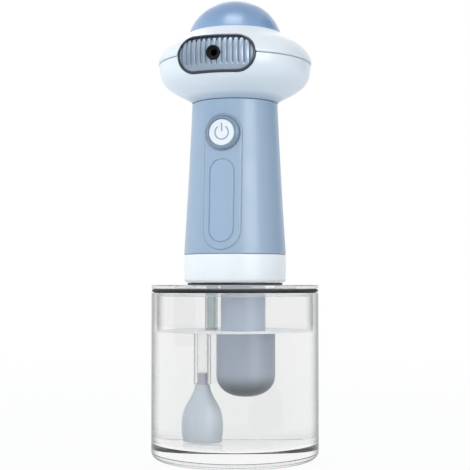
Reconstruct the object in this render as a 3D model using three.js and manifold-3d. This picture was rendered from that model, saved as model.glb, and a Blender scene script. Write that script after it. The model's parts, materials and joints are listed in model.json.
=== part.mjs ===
// Pet foam shampoo dispenser: a clear jar with an electric foam pump standing in its neck.
// Millimetres, +Z up, front is -Y. The origin is the centre of the jar's foot, on the table.
import * as THREE from "three";
import { mergeVertices } from "three/addons/utils/BufferGeometryUtils.js";
import Module from "manifold-3d";

const wasm = await Module();
wasm.setup();

// Fits: still pieces that meet, pieces that slide or turn on each other, and the overrun of a cut
const seatGap = 0.3;
const runningGap = 0.3;
const shaftGap = 0.12;
const cutOverrun = 1;
const weldDistance = 0.001;

// Number of sides of round pieces, by size
const sides = { wide: 32, middle: 24, narrow: 18, slim: 14, pin: 8 };
const arcSteps = { round: 3, small: 2, hole: 4, hidden: 3 };

// The jar: a thick-floored cup with a flat shoulder and a neck welded on
const jar = { radius: 45, wall: 2.8, floor: 8.5, footRound: 4.5, height: 92.6 };
const jarRounds = { floorInside: 5, rim: 1.8, steps: 3 };
const shoulder = { thickness: 3.6, spigotDepth: 2.4, spigotWall: 2 };
const neck = { radius: 24.2, wall: 2, height: 11.4 };
const lug = { count: 4, reach: 1.2, height: 2, below: 3, arcShare: 0.39 };
const baseGasket = { thickness: 1, width: 1.1 };
const neckGasket = { thickness: 1.2, inset: 0.2 };

// The closure: the ring that turns, the flange that it holds down, and the plate inside the handle
const collar = { wall: 1.7, footRound: 1.8, lip: 1.6 };
const closureFlange = { overNeck: 0.2, thickness: 1.5, ledge: 2.1, hubHeight: 2.2 };
const basePlate = { thickness: 3, postAngles: [60, 180, 300], postInset: 4.2, postRadius: 2.2 };
const closureScrew = { inset: 3.1, headRadius: 1.8, headHeight: 1.2, shankRadius: 1 };
const closureScrewAngles = [80, 148, 212, 280];

// The battery well that hangs in the jar, with the cell that it keeps dry
const well = { offset: 4.6, cellGap: 1, wall: 1.8, rim: 1.6, rimThickness: 1.5 };
const wellSeal = { cord: 1.3, steps: 6 };
const cell = { radius: 9.2, length: 65, belowPlate: 0.4 };
const cushion = { cover: 0.4, hollow: 3 };
const wellLid = { thickness: 1.5, contactRadius: 4 };

// The pickup: clear tube, spigot and bulb filter
const pickup = { gap: 2.6, radius: 3.4, bore: 2.2 };
const spigot = { length: 6, bore: 1.1 };
const bulb = { aboveFloor: 1, radius: 8.2, height: 30.2, wall: 1.3 };
const inletScreen = { radius: 5.6, thickness: 1.2, holeRadius: 0.8, holeRings: [0, 3.4] };
const bulbShares = [
  [0.93, 0],
  [0.985, 0.16],
  [1, 0.3],
  [0.96, 0.45],
  [0.86, 0.58],
  [0.72, 0.68],
  [0.53, 0.8],
  [0.41, 0.9],
  [0.354, 1],
];

// The handle: a tapered tube, slightly hollow-sided, with a raised panel on its front
const handle = { length: 81.3, overCollar: 0.1, taper: 4.4, wall: 2.4, bow: 0.25 };
const handleRows = 4;
const panel = { width: 20.5, fromFoot: 1.9, fromTop: 8, proud: 0.7, recess: 1.6 };
const grip = { width: 12.7, fromPanelFoot: 4.2, fromBezel: 4.5, depth: 1.1, proud: 0.9, groove: 0.5 };
const button = { fromPanelTop: 10.2, radius: 7, thickness: 2.6, travel: 0.8, dish: 0.5, stemRadius: 1.6 };
const bezel = { width: 2.2, proud: 2, capDrop: 0.5, round: 0.7 };
const boot = { radius: 2.9, thickness: 1.4 };
const tact = { size: 6, depth: 3.4, plungerRadius: 1.7, plungerLength: 1.1 };
const board = { width: 16, heightBelow: 8.8, heightAbove: 13, thickness: 1.4, fromWall: 6.9 };
const boardBoss = { radius: 2.1, inset: 2.4 };
const boardScrew = { headRadius: 1.7, headHeight: 1, shankRadius: 0.7, shankLength: 5 };

// The charging socket at the rear, and its hinged cover
const port = { rise: 38.1, width: 8.9, thickness: 3.2, depth: 7.3, wall: 0.4, tongue: 0.7 };
const portBoard = { width: 14, height: 18, thickness: 1.2, railWidth: 2 };
const cover = { width: 15, height: 11, thickness: 1, cornerRadius: 2.4, plugDepth: 1.2, plugInset: 0.6 };

// The gear pump at the foot of the handle, with the motor above it
const gear = { module: 1, teeth: 10, thickness: 4.6, addendumShare: 0.92, dedendumShare: 1.2 };
const gearFlankShares = { root: 0.3, pitch: 0.225, tip: 0.115 };
const pump = { centre: 3, flankWall: 2.78, endWall: 2.18, floor: 2.5, lid: 2.5, aboveWellLid: 2.3 };
const pumpPort = { nippleRadius: 1.6, nippleLength: 2.6, bore: 0.9 };
const airValve = { beyondGear: 3.4, radius: 2.4, length: 2.6, seatDepth: 1.3, bleedRadius: 0.6 };
const shaft = { radius: 1, insideCan: 9 };
const shaftSeal = { radius: 3.4, thickness: 1.4 };
const bracket = { thickness: 2.4 };
const motor = { radius: 12, capRadius: 5, capHeight: 2, edge: 0.8 };
const pumpScrew = { headRadius: 1.7, headHeight: 1, shankRadius: 0.8, insetX: 2, insetY: 2.1 };
const bracketScrew = { headRadius: 1.9, headHeight: 1.2, shankRadius: 0.9, shankLength: 8 };

// The hoses inside
const hoseSize = { gap: 0.45, wall: 0.7, steps: 4 };
const suctionHose = { rows: 10 };
const foamHose = { bend: 4, motorGap: 0.5, motorAngle: 34.3, neckGap: 3.25, neckY: 3, rows: 26 };
const foamHoseShares = [
  [0.86, 0.8, 0.33],
  [0.5, 0.33, 0.67],
  [0.12, -1, 0.935],
];

// The head: a bowl, a crown over it, and the dome on top
const head = { radius: 41, rise: 21.15, overHandle: 0.1, wall: 2.2, lap: 1.2 };
const headSpigot = { clearance: 0.4, wall: 1.7, depth: 5 };
const crown = { overhang: 0.6, rise: 17.25, openingRadius: 25.1, wall: 2.2 };
const dome = { overOpening: 1, sink: 7.6, wall: 1.8, skirtInset: 0.5 };
const domeFlange = { reach: 2.6, thickness: 1.5 };
const domeRows = 7;
const bowlShares = [
  [0, 0],
  [0.01, 0.04],
  [0.062, 0.082],
  [0.242, 0.169],
  [0.5, 0.282],
  [0.72, 0.41],
  [0.88, 0.552],
  [0.97, 0.72],
  [1, 1],
];
const crownShares = [
  [0.99, 0],
  [1, 0.05],
  [0.97, 0.16],
  [0.885, 0.325],
  [0.754, 0.48],
  [0.57, 0.62],
  [0.305, 0.784],
  [0.126, 0.9],
  [0.015, 0.975],
];

// The grille at the front of the head, and the foam outlet in it
const grille = { belowSeam: 0.45, halfWidth: 20.9, halfHeight: 9.7, frameWidth: 1.3, depth: 3, proud: 0.4 };
const grilleBarrel = { overHead: 0.3, bulge: 2.4, rows: 6 };
const rib = { pitch: 3.1, slot: 1, depth: 1, notchWidth: 1.5, notchHeight: 1.7, notchDepth: 1.7 };
const nozzle = { radius: 3.7, bore: 1.7, proud: 0.9, flangeThickness: 2, mouthRadius: 2.7, mouthDepth: 1.6 };
const chamber = { radius: 7, wall: 1.4, length: 22.6, behindPlate: 1.7, floor: 2.4, inlet: 4.5 };
const foamMesh = { thickness: 0.6, holeRadius: 0.7, holeRings: [0, 3.1], fromRear: [6, 14] };
const cradle = { width: 5, depth: 6, from: 22 };

// Heights and radii of the closure that follow from the jar
const neckTop = jar.height + neck.height;
const neckBore = neck.radius - neck.wall;
const neckLugRadius = neck.radius + lug.reach;
const lugPitch = (2 * Math.PI) / lug.count;
const lugTop = neckTop - lug.below;
const shoulderFoot = jar.height - shoulder.thickness;
const flangeRadius = neck.radius + closureFlange.overNeck;
const hubRadius = flangeRadius - closureFlange.ledge;
const flangeBottom = neckTop + neckGasket.thickness;
const flangeTop = flangeBottom + closureFlange.thickness;
const handleFoot = flangeTop + closureFlange.hubHeight;
const collarBottom = jar.height + baseGasket.thickness + runningGap;
const collarTop = handleFoot - runningGap;
const collarBore = neckLugRadius + seatGap;
const collarRadius = collarBore + collar.wall;
const screwCircle = hubRadius - closureScrew.inset;

// The handle and what is set into it
const handleTop = handleFoot + handle.length;
const footRadius = collarRadius + handle.overCollar;
const topRadius = footRadius - handle.taper;
const panelFoot = handleFoot + panel.fromFoot;
const panelTop = handleTop - panel.fromTop;
const buttonHeight = panelTop - button.fromPanelTop;
const bezelRadius = button.radius + runningGap + bezel.width;
const gripFoot = panelFoot + grip.fromPanelFoot;
const gripTop = buttonHeight - bezelRadius - grip.fromBezel;
const boardFoot = buttonHeight - board.heightBelow;
const boardTop = buttonHeight + board.heightAbove;
const boardScrewHeights = [boardFoot + boardBoss.inset, boardTop - boardBoss.inset];
const portHeight = handleFoot + port.rise;

// The well and the pickup hang from the plate in the handle's foot
const plateTop = handleFoot + basePlate.thickness;
const wellBore = cell.radius + well.cellGap;
const wellRadius = wellBore + well.wall;
const wellRimRadius = wellRadius + well.rim;
const wellRimTop = plateTop + well.rimThickness;
const wellLidTop = wellRimTop + wellLid.thickness;
const cellTop = plateTop - cell.belowPlate;
const cellBottom = cellTop - cell.length;
const wellBottomCentre = cellBottom - seatGap - cushion.cover;
const wellBottom = wellBottomCentre - wellRadius;
const pickupPlace = well.offset - wellRadius - pickup.gap - pickup.radius;
const pickupTop = plateTop - basePlate.thickness / 2;
const bulbBottom = jar.floor + bulb.aboveFloor;
const bulbTop = bulbBottom + bulb.height;
const pickupBottom = bulbTop + seatGap;

// The pump and the motor
const pitchRadius = (gear.module * gear.teeth) / 2;
const gearRadius = pitchRadius + gear.module * gear.addendumShare;
const cavityRadius = gearRadius + runningGap;
const pumpBottom = wellLidTop + pump.aboveWellLid;
const gearBottom = pumpBottom + pump.floor + runningGap;
const gearTop = gearBottom + gear.thickness;
const pumpTop = gearTop + runningGap;
const gearMiddle = (gearBottom + gearTop) / 2;
const bracketBottom = pumpTop + pump.lid;
const bracketTop = bracketBottom + bracket.thickness;
const motorBottom = bracketTop + seatGap;
const motorTop = boardFoot - seatGap - motor.capHeight;
const pumpHalfWidth = cavityRadius + pump.flankWall;
const pumpHalfDepth = pitchRadius + cavityRadius + pump.endWall;
const pumpLow = [pump.centre - pumpHalfWidth, -pumpHalfDepth];
const pumpHigh = [pump.centre + pumpHalfWidth, pumpHalfDepth];
const valvePlace = pitchRadius + airValve.beyondGear;
const hoseBore = pumpPort.nippleRadius + hoseSize.gap;
const hoseRadius = hoseBore + hoseSize.wall;
const hoseRise = pumpHigh[0] + pumpPort.nippleLength + foamHose.bend;

// The head
const headBottom = handleTop + seatGap;
const headSeam = handleTop + head.rise;
const headNeckRadius = topRadius + head.overHandle;
const spigotOuter = topRadius - handle.wall - headSpigot.clearance;
const crownRadius = head.radius + crown.overhang;
const crownTop = headSeam + crown.rise;
const domeRadius = crown.openingRadius + dome.overOpening;
const domeCentre = crownTop - dome.sink;
const grilleCentre = headSeam - grille.belowSeam;
const barrelRadius = head.radius + grilleBarrel.overHead;
const chamberFront = barrelRadius - grille.depth - chamber.behindPlate;
const chamberRear = chamberFront - chamber.length;

// Finishes
const finish = (color, roughness, metalness = 0, opacity = 1) =>
  new THREE.MeshStandardMaterial({ color, roughness, metalness, opacity, transparent: opacity < 1 });
const clearPlastic = finish(0xeef4f6, 0.08, 0, 0.3);
const whitePlastic = finish(0xf3f6f8, 0.3);
const bluePlastic = finish(0x9db3cc, 0.42);
const blueGloss = finish(0x7fa3cc, 0.15);
const greyPlastic = finish(0x99a5b2, 0.4);
const paleBlueRubber = finish(0xb4c6da, 0.55);
const darkRubber = finish(0x3d4650, 0.7);
const silverPlastic = finish(0xa3adb9, 0.35, 0.3);
const slatePlastic = finish(0x505e67, 0.4);
const blackPlastic = finish(0x22252b, 0.35);
const blackRubber = finish(0x1c1e22, 0.8);
const creamPlastic = finish(0xe2ded2, 0.5);
const boardGreen = finish(0x2f6b4a, 0.5);
const steel = finish(0xb9bdc2, 0.3, 1);
const cellWrap = finish(0x4f8a6a, 0.45);
const softTube = finish(0xdfe4e6, 0.4);

// A closed geometry as a solid that can be joined and cut
function solid(geometry) {
  geometry.deleteAttribute("normal");
  geometry.deleteAttribute("uv");
  const merged = mergeVertices(geometry, weldDistance);
  return new wasm.Manifold(
    new wasm.Mesh({
      numProp: 3,
      vertProperties: merged.attributes.position.array,
      triVerts: new Uint32Array(merged.index.array),
    }),
  );
}

// A solid turned about +Z from [radius, height] points; it closes on the axis or on itself.
// With a forward height it lies along -Y at that height instead.
function turned(points, count, forwardAt = 0) {
  const path = points.map(([radius, height]) => new THREE.Vector2(radius, height));
  if (points[0][0] > 0) path.push(path[0].clone());
  const area = path.reduce((sum, a, i) => {
    const b = path[(i + 1) % path.length];
    return sum + a.x * b.y - b.x * a.y;
  }, 0);
  if (area < 0) path.reverse();
  const lathe = new THREE.LatheGeometry(path, count);
  lathe.rotateX(forwardAt ? Math.PI : Math.PI / 2);
  lathe.translate(0, 0, forwardAt);
  return solid(lathe);
}

// A plain ring or disc about +Z
function ring(outer, inner, bottom, top, count) {
  const low = inner > 0 ? [[inner, bottom]] : [[0, bottom]];
  const high = inner > 0 ? [[inner, top]] : [[0, top]];
  return turned([...low, [outer, bottom], [outer, top], ...high], count);
}

// A round bar between two values of one axis, with its centre given on the other two
function bar(axis, radius, from, to, count, x, y, z) {
  const cylinder = new THREE.CylinderGeometry(
    radius,
    radius,
    to - from,
    count,
    1,
    false,
    Math.PI / count,
  );
  if (axis === "x") cylinder.rotateZ(-Math.PI / 2);
  if (axis === "z") cylinder.rotateX(Math.PI / 2);
  const middle = (from + to) / 2;
  cylinder.translate(
    axis === "x" ? middle : x,
    axis === "y" ? middle : y,
    axis === "z" ? middle : z,
  );
  return solid(cylinder);
}

// Round bars that stand at [x, y], and ones that lie along Y on the middle plane at a height
const upright = (radius, from, to, [x, y], count = sides.pin) => bar(
  "z",
  radius,
  from,
  to,
  count,
  x,
  y,
  0,
);
const level = (radius, from, to, height, count = sides.pin) => bar(
  "y",
  radius,
  from,
  to,
  count,
  0,
  0,
  height,
);

// A box between two corners
function block(low, high) {
  const box = new THREE.BoxGeometry(high[0] - low[0], high[1] - low[1], high[2] - low[2]);
  box.translate((low[0] + high[0]) / 2, (low[1] + high[1]) / 2, (low[2] + high[2]) / 2);
  return solid(box);
}

// An outline drawn in X and Z, pushed along Y from one value to a larger one
function frontPrism(outline, from, to, z, curveSegments) {
  const prism = new THREE.ExtrudeGeometry(outline, {
    depth: to - from,
    bevelEnabled: false,
    curveSegments,
  });
  prism.rotateX(Math.PI / 2);
  prism.translate(0, to, z);
  return solid(prism);
}

// A sector about +Z as an upright prism
function sector(inner, outer, bottom, top, angle, spread, steps) {
  const outline = new THREE.Shape();
  outline.absarc(0, 0, outer, angle - spread / 2, angle + spread / 2, false);
  outline.absarc(0, 0, inner, angle + spread / 2, angle - spread / 2, true);
  outline.closePath();
  const prism = new THREE.ExtrudeGeometry(outline, {
    depth: top - bottom,
    bevelEnabled: false,
    curveSegments: steps,
  });
  prism.translate(0, 0, bottom);
  return solid(prism);
}

// An outline with round ends or round corners, centred on the origin
function rounded(width, height, cornerRadius) {
  const x = width / 2 - cornerRadius;
  const y = height / 2 - cornerRadius;
  const outline = new THREE.Shape();
  outline.absarc(x, -y, cornerRadius, -Math.PI / 2, 0, false);
  outline.absarc(x, y, cornerRadius, 0, Math.PI / 2, false);
  outline.absarc(-x, y, cornerRadius, Math.PI / 2, Math.PI, false);
  outline.absarc(-x, -y, cornerRadius, Math.PI, (Math.PI * 3) / 2, false);
  outline.closePath();
  return outline;
}

// A quarter round from one angle to another, as [radius, height] points
function roundPoints(centreRadius, centreHeight, radius, fromAngle, toAngle, steps) {
  return Array.from({ length: steps + 1 }, (_, i) => {
    const angle = fromAngle + ((toAngle - fromAngle) * i) / steps;
    return [centreRadius + radius * Math.cos(angle), centreHeight + radius * Math.sin(angle)];
  });
}

// The same outline moved inwards, each point along the mean normal of its two edges
function inset(points, distance) {
  return points.map((point, i) => {
    const before = points[Math.max(i - 1, 0)];
    const after = points[Math.min(i + 1, points.length - 1)];
    const length = Math.hypot(after[0] - before[0], after[1] - before[1]);
    return [
      point[0] - (distance * (after[1] - before[1])) / length,
      point[1] + (distance * (after[0] - before[0])) / length,
    ];
  });
}

// Every second point of an outline, with both ends kept, for walls that nobody sees
const everySecond = (points) => points.filter((_, i) => i % 2 === 0 || i === points.length - 1);

const quarter = Math.PI / 2;
const inRadians = (degrees) => (degrees * Math.PI) / 180;
const onCircle = (radius, degrees) => [
  radius * Math.cos(inRadians(degrees)),
  radius * Math.sin(inRadians(degrees)),
];

const product = new THREE.Group();
const wellGroup = new THREE.Group();
wellGroup.position.x = well.offset;
const pickupGroup = new THREE.Group();
pickupGroup.position.x = pickupPlace;
product.add(wellGroup, pickupGroup);

// Adds a solid to the model as a named mesh
function add(name, shape, material, parent = product) {
  const mesh = shape.getMesh();
  const geometry = new THREE.BufferGeometry();
  geometry.setAttribute("position", new THREE.BufferAttribute(new Float32Array(mesh.vertProperties), 3));
  geometry.setIndex(new THREE.BufferAttribute(new Uint32Array(mesh.triVerts), 1));
  geometry.computeVertexNormals();
  const piece = new THREE.Mesh(geometry, material);
  piece.name = name;
  parent.add(piece);
}

// The jar: a cup with a thick floor
function jarCup() {
  const inner = jar.radius - jar.wall;
  const top = shoulderFoot - seatGap;
  return turned(
    [
      [0, 0],
      ...roundPoints(
        jar.radius - jar.footRound,
        jar.footRound,
        jar.footRound,
        -quarter,
        0,
        jarRounds.steps,
      ),
      [jar.radius, top],
      [inner, top],
      ...roundPoints(
        inner - jarRounds.floorInside,
        jar.floor + jarRounds.floorInside,
        jarRounds.floorInside,
        0,
        -quarter,
        jarRounds.steps,
      ),
      [0, jar.floor],
    ],
    sides.wide,
  );
}

// The jar's shoulder, with a spigot into the cup and a neck with bayonet lugs
function jarShoulder() {
  const spigotRadius = jar.radius - jar.wall - seatGap;
  const plain = turned(
    [
      [neckBore, shoulderFoot],
      [spigotRadius - shoulder.spigotWall, shoulderFoot],
      [spigotRadius - shoulder.spigotWall, shoulderFoot - shoulder.spigotDepth],
      [spigotRadius, shoulderFoot - shoulder.spigotDepth],
      [spigotRadius, shoulderFoot],
      [jar.radius, shoulderFoot],
      ...roundPoints(
        jar.radius - jarRounds.rim,
        jar.height - jarRounds.rim,
        jarRounds.rim,
        0,
        quarter,
        jarRounds.steps,
      ),
      [neck.radius, jar.height],
      [neck.radius, neckTop],
      [neckBore, neckTop],
    ],
    sides.wide,
  );
  const lugs = lugRing(neck.radius - neck.wall / 2, neckLugRadius, lugTop - lug.height, lugTop, 0);
  return plain.add(lugs);
}

// A ring of lugs, turned by a share of their pitch
function lugRing(inner, outer, bottom, top, turnShare) {
  const spread = lugPitch * lug.arcShare;
  return Array.from({ length: lug.count }, (_, i) =>
    sector(inner, outer, bottom, top, lugPitch * (i + turnShare), spread, arcSteps.small),
  ).reduce((all, one) => all.add(one));
}

// The ring that locks the pump on the jar: its lugs stand between the neck's lugs at rest
function collarRing() {
  const lipFoot = collarTop - collar.lip;
  const body = turned(
    [
      [collarBore, collarBottom],
      ...roundPoints(
        collarRadius - collar.footRound,
        collarBottom + collar.footRound,
        collar.footRound,
        -quarter,
        0,
        jarRounds.steps,
      ),
      [collarRadius, collarTop],
      [hubRadius + runningGap, collarTop],
      [hubRadius + runningGap, lipFoot],
      [collarBore, lipFoot],
    ],
    sides.wide,
  );
  const top = lugTop - lug.height - runningGap;
  const inner = flangeRadius + seatGap / 2;
  return body.add(lugRing(
    inner,
    collarBore + (collarRadius - collarBore) / 2,
    top - lug.height,
    top,
    1 / 2,
  ));
}

add("jar_cup", jarCup(), clearPlastic);
add("jar_shoulder", jarShoulder(), clearPlastic);
add(
  "base_gasket",
  ring(
    neck.radius + seatGap + baseGasket.width,
    neck.radius + seatGap,
    jar.height,
    jar.height + baseGasket.thickness,
    sides.wide,
  ),
  darkRubber,
);
add("collar", collarRing(), whitePlastic);
add(
  "neck_gasket",
  ring(
    neck.radius - neckGasket.inset,
    neckBore + neckGasket.inset,
    neckTop,
    flangeBottom,
    sides.middle,
  ),
  darkRubber,
);

// Bores through the closure for the well and for the pickup tube, whose own may stop lower
function closureBores(bottom, wellTop, tubeTop) {
  const wellHole = upright(
    wellRadius + seatGap,
    bottom - cutOverrun,
    wellTop + cutOverrun,
    [well.offset, 0],
    sides.middle,
  );
  const tubeHole = upright(
    pickup.radius + seatGap,
    bottom - cutOverrun,
    tubeTop,
    [pickupPlace, 0],
    sides.slim,
  );
  return wellHole.add(tubeHole);
}

const closureScrewPlaces = closureScrewAngles.map((angle) => onCircle(screwCircle, angle));

// The flange over the neck, with its hub through the collar and a groove for the well's seal
function closureFlangePiece() {
  const grooveFoot = (flangeBottom + handleFoot) / 2 - wellSeal.cord;
  const body = turned(
    [
      [0, flangeBottom],
      [flangeRadius, flangeBottom],
      [flangeRadius, flangeTop],
      [hubRadius, flangeTop],
      [hubRadius, handleFoot],
      [0, handleFoot],
    ],
    sides.wide,
  );
  const groove = upright(
    wellRadius + seatGap * 2 + wellSeal.cord,
    grooveFoot,
    grooveFoot + wellSeal.cord + seatGap * 2,
    [well.offset, 0],
    sides.middle,
  );
  const bores = closureBores(flangeBottom, handleFoot, handleFoot + cutOverrun);
  const screwCuts = closureScrewPlaces.map(([x, y]) =>
    screwCut(x, y, flangeBottom, handleFoot, closureScrew),
  );
  return screwCuts.reduce((all, cut) => all.subtract(cut), body.subtract(bores).subtract(groove));
}

// The hole of a screw whose head is sunk at the lower end
function screwCut(x, y, bottom, top, size) {
  const over = cutOverrun;
  const head = upright(
    size.headRadius + seatGap,
    bottom - over,
    bottom + size.headHeight + seatGap,
    [x, y],
  );
  const shank = upright(size.shankRadius + seatGap, bottom, top + over, [x, y]);
  return head.add(shank);
}

const plateRadius = handleRadius(plateTop) - handle.wall - seatGap;
const postCircle = plateRadius - basePlate.postInset;
const postPlaces = basePlate.postAngles.map((angle) => onCircle(postCircle, angle));

// The plate in the handle's foot, with three posts that carry the pump's bracket
function basePlatePiece() {
  const disc = ring(plateRadius, 0, handleFoot, plateTop, sides.wide);
  const posts = postPlaces.map(([x, y]) => {
    const post = upright(basePlate.postRadius, plateTop - seatGap, bracketBottom, [x, y]);
    const pilotFoot = bracketTop - bracketScrew.headHeight - bracketScrew.shankLength - seatGap;
    const pilot = upright(
      bracketScrew.shankRadius + seatGap / 2,
      pilotFoot,
      bracketBottom + cutOverrun,
      [x, y],
    );
    return post.subtract(pilot);
  });
  const pilots = closureScrewPlaces.map(([x, y]) =>
    upright(closureScrew.shankRadius + seatGap / 2, handleFoot - cutOverrun, plateTop, [x, y]),
  );
  const bores = closureBores(handleFoot, plateTop, pickupTop);
  const joined = posts.reduce((all, post) => all.add(post), disc.subtract(bores));
  return pilots.reduce((all, pilot) => all.subtract(pilot), joined);
}

// Outer radius of the handle at a height: a taper with slightly hollow sides
function handleRadius(z) {
  const share = (z - handleFoot) / (handleTop - handleFoot);
  const taper = footRadius + (topRadius - footRadius) * share;
  return taper - handle.bow * 4 * share * (1 - share);
}

// A layer of the handle's wall between two offsets from its outer face
function handleLayer(outerOffset, innerOffset, bottom, top) {
  const heights = Array.from(
    { length: handleRows + 1 },
    (_, i) => bottom + ((top - bottom) * i) / handleRows,
  );
  const outer = heights.map((z) => [handleRadius(z) + outerOffset, z]);
  const inner = heights.map((z) => [handleRadius(z) + innerOffset, z]).reverse();
  return turned([...outer, ...inner], sides.wide);
}

// The parts of the closure

function batteryWell() {
  const steps = jarRounds.steps + 1;
  return turned(
    [
      [0, wellBottom],
      ...roundPoints(0, wellBottomCentre, wellRadius, -quarter, 0, steps).slice(1),
      [wellRadius, plateTop],
      [wellRimRadius, plateTop],
      [wellRimRadius, wellRimTop],
      [wellBore, wellRimTop],
      ...roundPoints(0, wellBottomCentre, wellBore, 0, -quarter, steps).slice(0, -1),
      [0, wellBottom + well.wall],
    ],
    sides.middle,
  );
}

function cellCushion() {
  const radius = wellBore - seatGap;
  const top = wellBottomCentre + cushion.cover;
  return turned(
    [
      [0, wellBottomCentre - radius],
      ...roundPoints(0, wellBottomCentre, radius, -quarter, 0, jarRounds.steps).slice(1),
      [radius, top],
      [cushion.hollow, top],
      [cushion.hollow, wellBottomCentre],
      [0, wellBottomCentre],
    ],
    sides.narrow,
  );
}

function sealRing() {
  const middle = wellRadius + seatGap / 2 + wellSeal.cord / 2;
  const height = (flangeBottom + handleFoot) / 2 - wellSeal.cord / 2 + seatGap;
  const around = roundPoints(middle, height, wellSeal.cord / 2, 0, 2 * Math.PI, wellSeal.steps);
  return turned(around.slice(0, -1), sides.middle);
}

function batteryCell() {
  return ring(cell.radius, 0, cellBottom, cellTop, sides.narrow);
}

// The lid of the well, with the contact that presses on the cell
function wellLidPiece() {
  return turned(
    [
      [0, cellTop + seatGap],
      [wellLid.contactRadius, cellTop + seatGap],
      [wellLid.contactRadius, wellRimTop],
      [wellRimRadius, wellRimTop],
      [wellRimRadius, wellLidTop],
      [0, wellLidTop],
    ],
    sides.narrow,
  );
}

// The pickup: tube, spigot, bulb and screen stand on one axis
const spigotRadius = pickup.bore - seatGap;
const screenTop = bulbBottom + inletScreen.thickness;

function pickupTube() {
  return ring(pickup.radius, pickup.bore, pickupBottom, pickupTop - seatGap, sides.slim);
}

function pickupSpigot() {
  const length = spigot.length;
  return ring(spigotRadius, spigot.bore, pickupBottom - length / 2, pickupBottom + length, sides.pin);
}

function filterBulb() {
  const outer = bulbShares.map(([radiusShare, heightShare]) => [
    bulb.radius * radiusShare,
    bulbBottom + (bulbTop - bulbBottom) * heightShare,
  ]);
  const inner = everySecond(inset(outer, bulb.wall));
  inner[0] = [inletScreen.radius + seatGap, bulbBottom];
  inner.splice(1, 0, [inletScreen.radius + seatGap, screenTop + seatGap]);
  const neckRadius = spigotRadius + seatGap;
  const kept = inner.filter(([radius]) => radius > neckRadius);
  const last = kept[kept.length - 1];
  const path = [...outer, [neckRadius, bulbTop], [neckRadius, last[1] + bulb.wall], ...kept.reverse()];
  return turned(path, sides.narrow);
}

// A thin disc with rings of holes: flat at a height, or upright at a place along Y when that is given
function perforatedDisc(radius, thickness, holeRadius, holeRings, spacing, height, placeY) {
  const outline = new THREE.Shape();
  outline.absarc(0, 0, radius, 0, 2 * Math.PI, false);
  holeRings.forEach((ringRadius) => {
    const count = ringRadius > 0 ? Math.floor((2 * Math.PI * ringRadius) / spacing) : 1;
    for (let i = 0; i < count; i += 1) {
      const angle = (2 * Math.PI * i) / count;
      const x = ringRadius * Math.cos(angle);
      const y = ringRadius * Math.sin(angle);
      const corners = [
        [-holeRadius, 0],
        [0, holeRadius],
        [holeRadius, 0],
        [0, -holeRadius],
      ];
      outline.holes.push(new THREE.Path(corners.map(([dx, dy]) => new THREE.Vector2(x + dx, y + dy))));
    }
  });
  const disc = new THREE.ExtrudeGeometry(outline, {
    depth: thickness,
    bevelEnabled: false,
    curveSegments: arcSteps.hole,
  });
  if (placeY) disc.rotateX(Math.PI / 2);
  disc.translate(0, placeY ?? 0, height);
  return solid(disc);
}

// A hose along a smooth path, with its bore open at both ends
function hose(points, rows) {
  const outline = new THREE.Shape();
  outline.absarc(0, 0, hoseRadius, 0, 2 * Math.PI, false);
  const hole = new THREE.Path();
  hole.absarc(0, 0, hoseBore, 0, 2 * Math.PI, true);
  outline.holes.push(hole);
  const path = new THREE.CatmullRomCurve3(points.map((p) => new THREE.Vector3(...p)));
  return solid(
    new THREE.ExtrudeGeometry(outline, {
      steps: rows,
      extrudePath: path,
      curveSegments: hoseSize.steps,
    }),
  );
}

// The nipple on the base plate that the suction hose is pushed over
function pickupNipple() {
  const nipple = upright(
    pumpPort.nippleRadius,
    plateTop - seatGap,
    plateTop + pumpPort.nippleLength,
    [pickupPlace, 0],
  );
  const bore = upright(
    pumpPort.bore,
    handleFoot,
    plateTop + pumpPort.nippleLength + cutOverrun,
    [pickupPlace, 0],
  );
  return { nipple, bore };
}

function basePlateWithNipple() {
  const { nipple, bore } = pickupNipple();
  return basePlatePiece().add(nipple).subtract(bore);
}

function suctionHosePiece() {
  const from = pickupPlace;
  const to = pumpLow[0] - seatGap;
  const bend = to - from - pumpPort.nippleLength;
  const start = plateTop + seatGap;
  const points = [
    [from, 0, start],
    [from, 0, gearMiddle - bend],
    [from + bend * (1 - Math.SQRT1_2), 0, gearMiddle - bend * (1 - Math.SQRT1_2)],
    [from + bend, 0, gearMiddle],
    [to, 0, gearMiddle],
  ];
  return hose(points, suctionHose.rows);
}

add("base_plate", basePlateWithNipple(), greyPlastic);
add("closure_flange", closureFlangePiece(), greyPlastic);
closureScrewPlaces.forEach(([x, y], i) => {
  const head = upright(
    closureScrew.headRadius,
    flangeBottom,
    flangeBottom + closureScrew.headHeight,
    [x, y],
  );
  const shank = upright(closureScrew.shankRadius, flangeBottom, plateTop - seatGap, [x, y]);
  add("closure_screw_" + (i + 1), head.add(shank), steel);
});
add("battery_well", batteryWell(), greyPlastic, wellGroup);
add("well_seal", sealRing(), darkRubber, wellGroup);
add("well_lid", wellLidPiece(), creamPlastic, wellGroup);
add("battery_cell", batteryCell(), cellWrap, wellGroup);
add("cell_cushion", cellCushion(), darkRubber, wellGroup);
add("pickup_tube", pickupTube(), softTube, pickupGroup);
add("pickup_spigot", pickupSpigot(), greyPlastic, pickupGroup);
add("filter_bulb", filterBulb(), paleBlueRubber, pickupGroup);
add(
  "inlet_screen",
  perforatedDisc(
    inletScreen.radius,
    inletScreen.thickness,
    inletScreen.holeRadius,
    inletScreen.holeRings,
    inletScreen.holeRadius * 3,
    bulbBottom,
  ),
  greyPlastic,
  pickupGroup,
);
add("suction_hose", suctionHosePiece(), softTube);

// The gear pump: two gears side by side along Y, with a port at each side of their mesh
const driveY = -pitchRadius;
const drivenY = pitchRadius;
const gearBore = shaft.radius + shaftGap;

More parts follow.
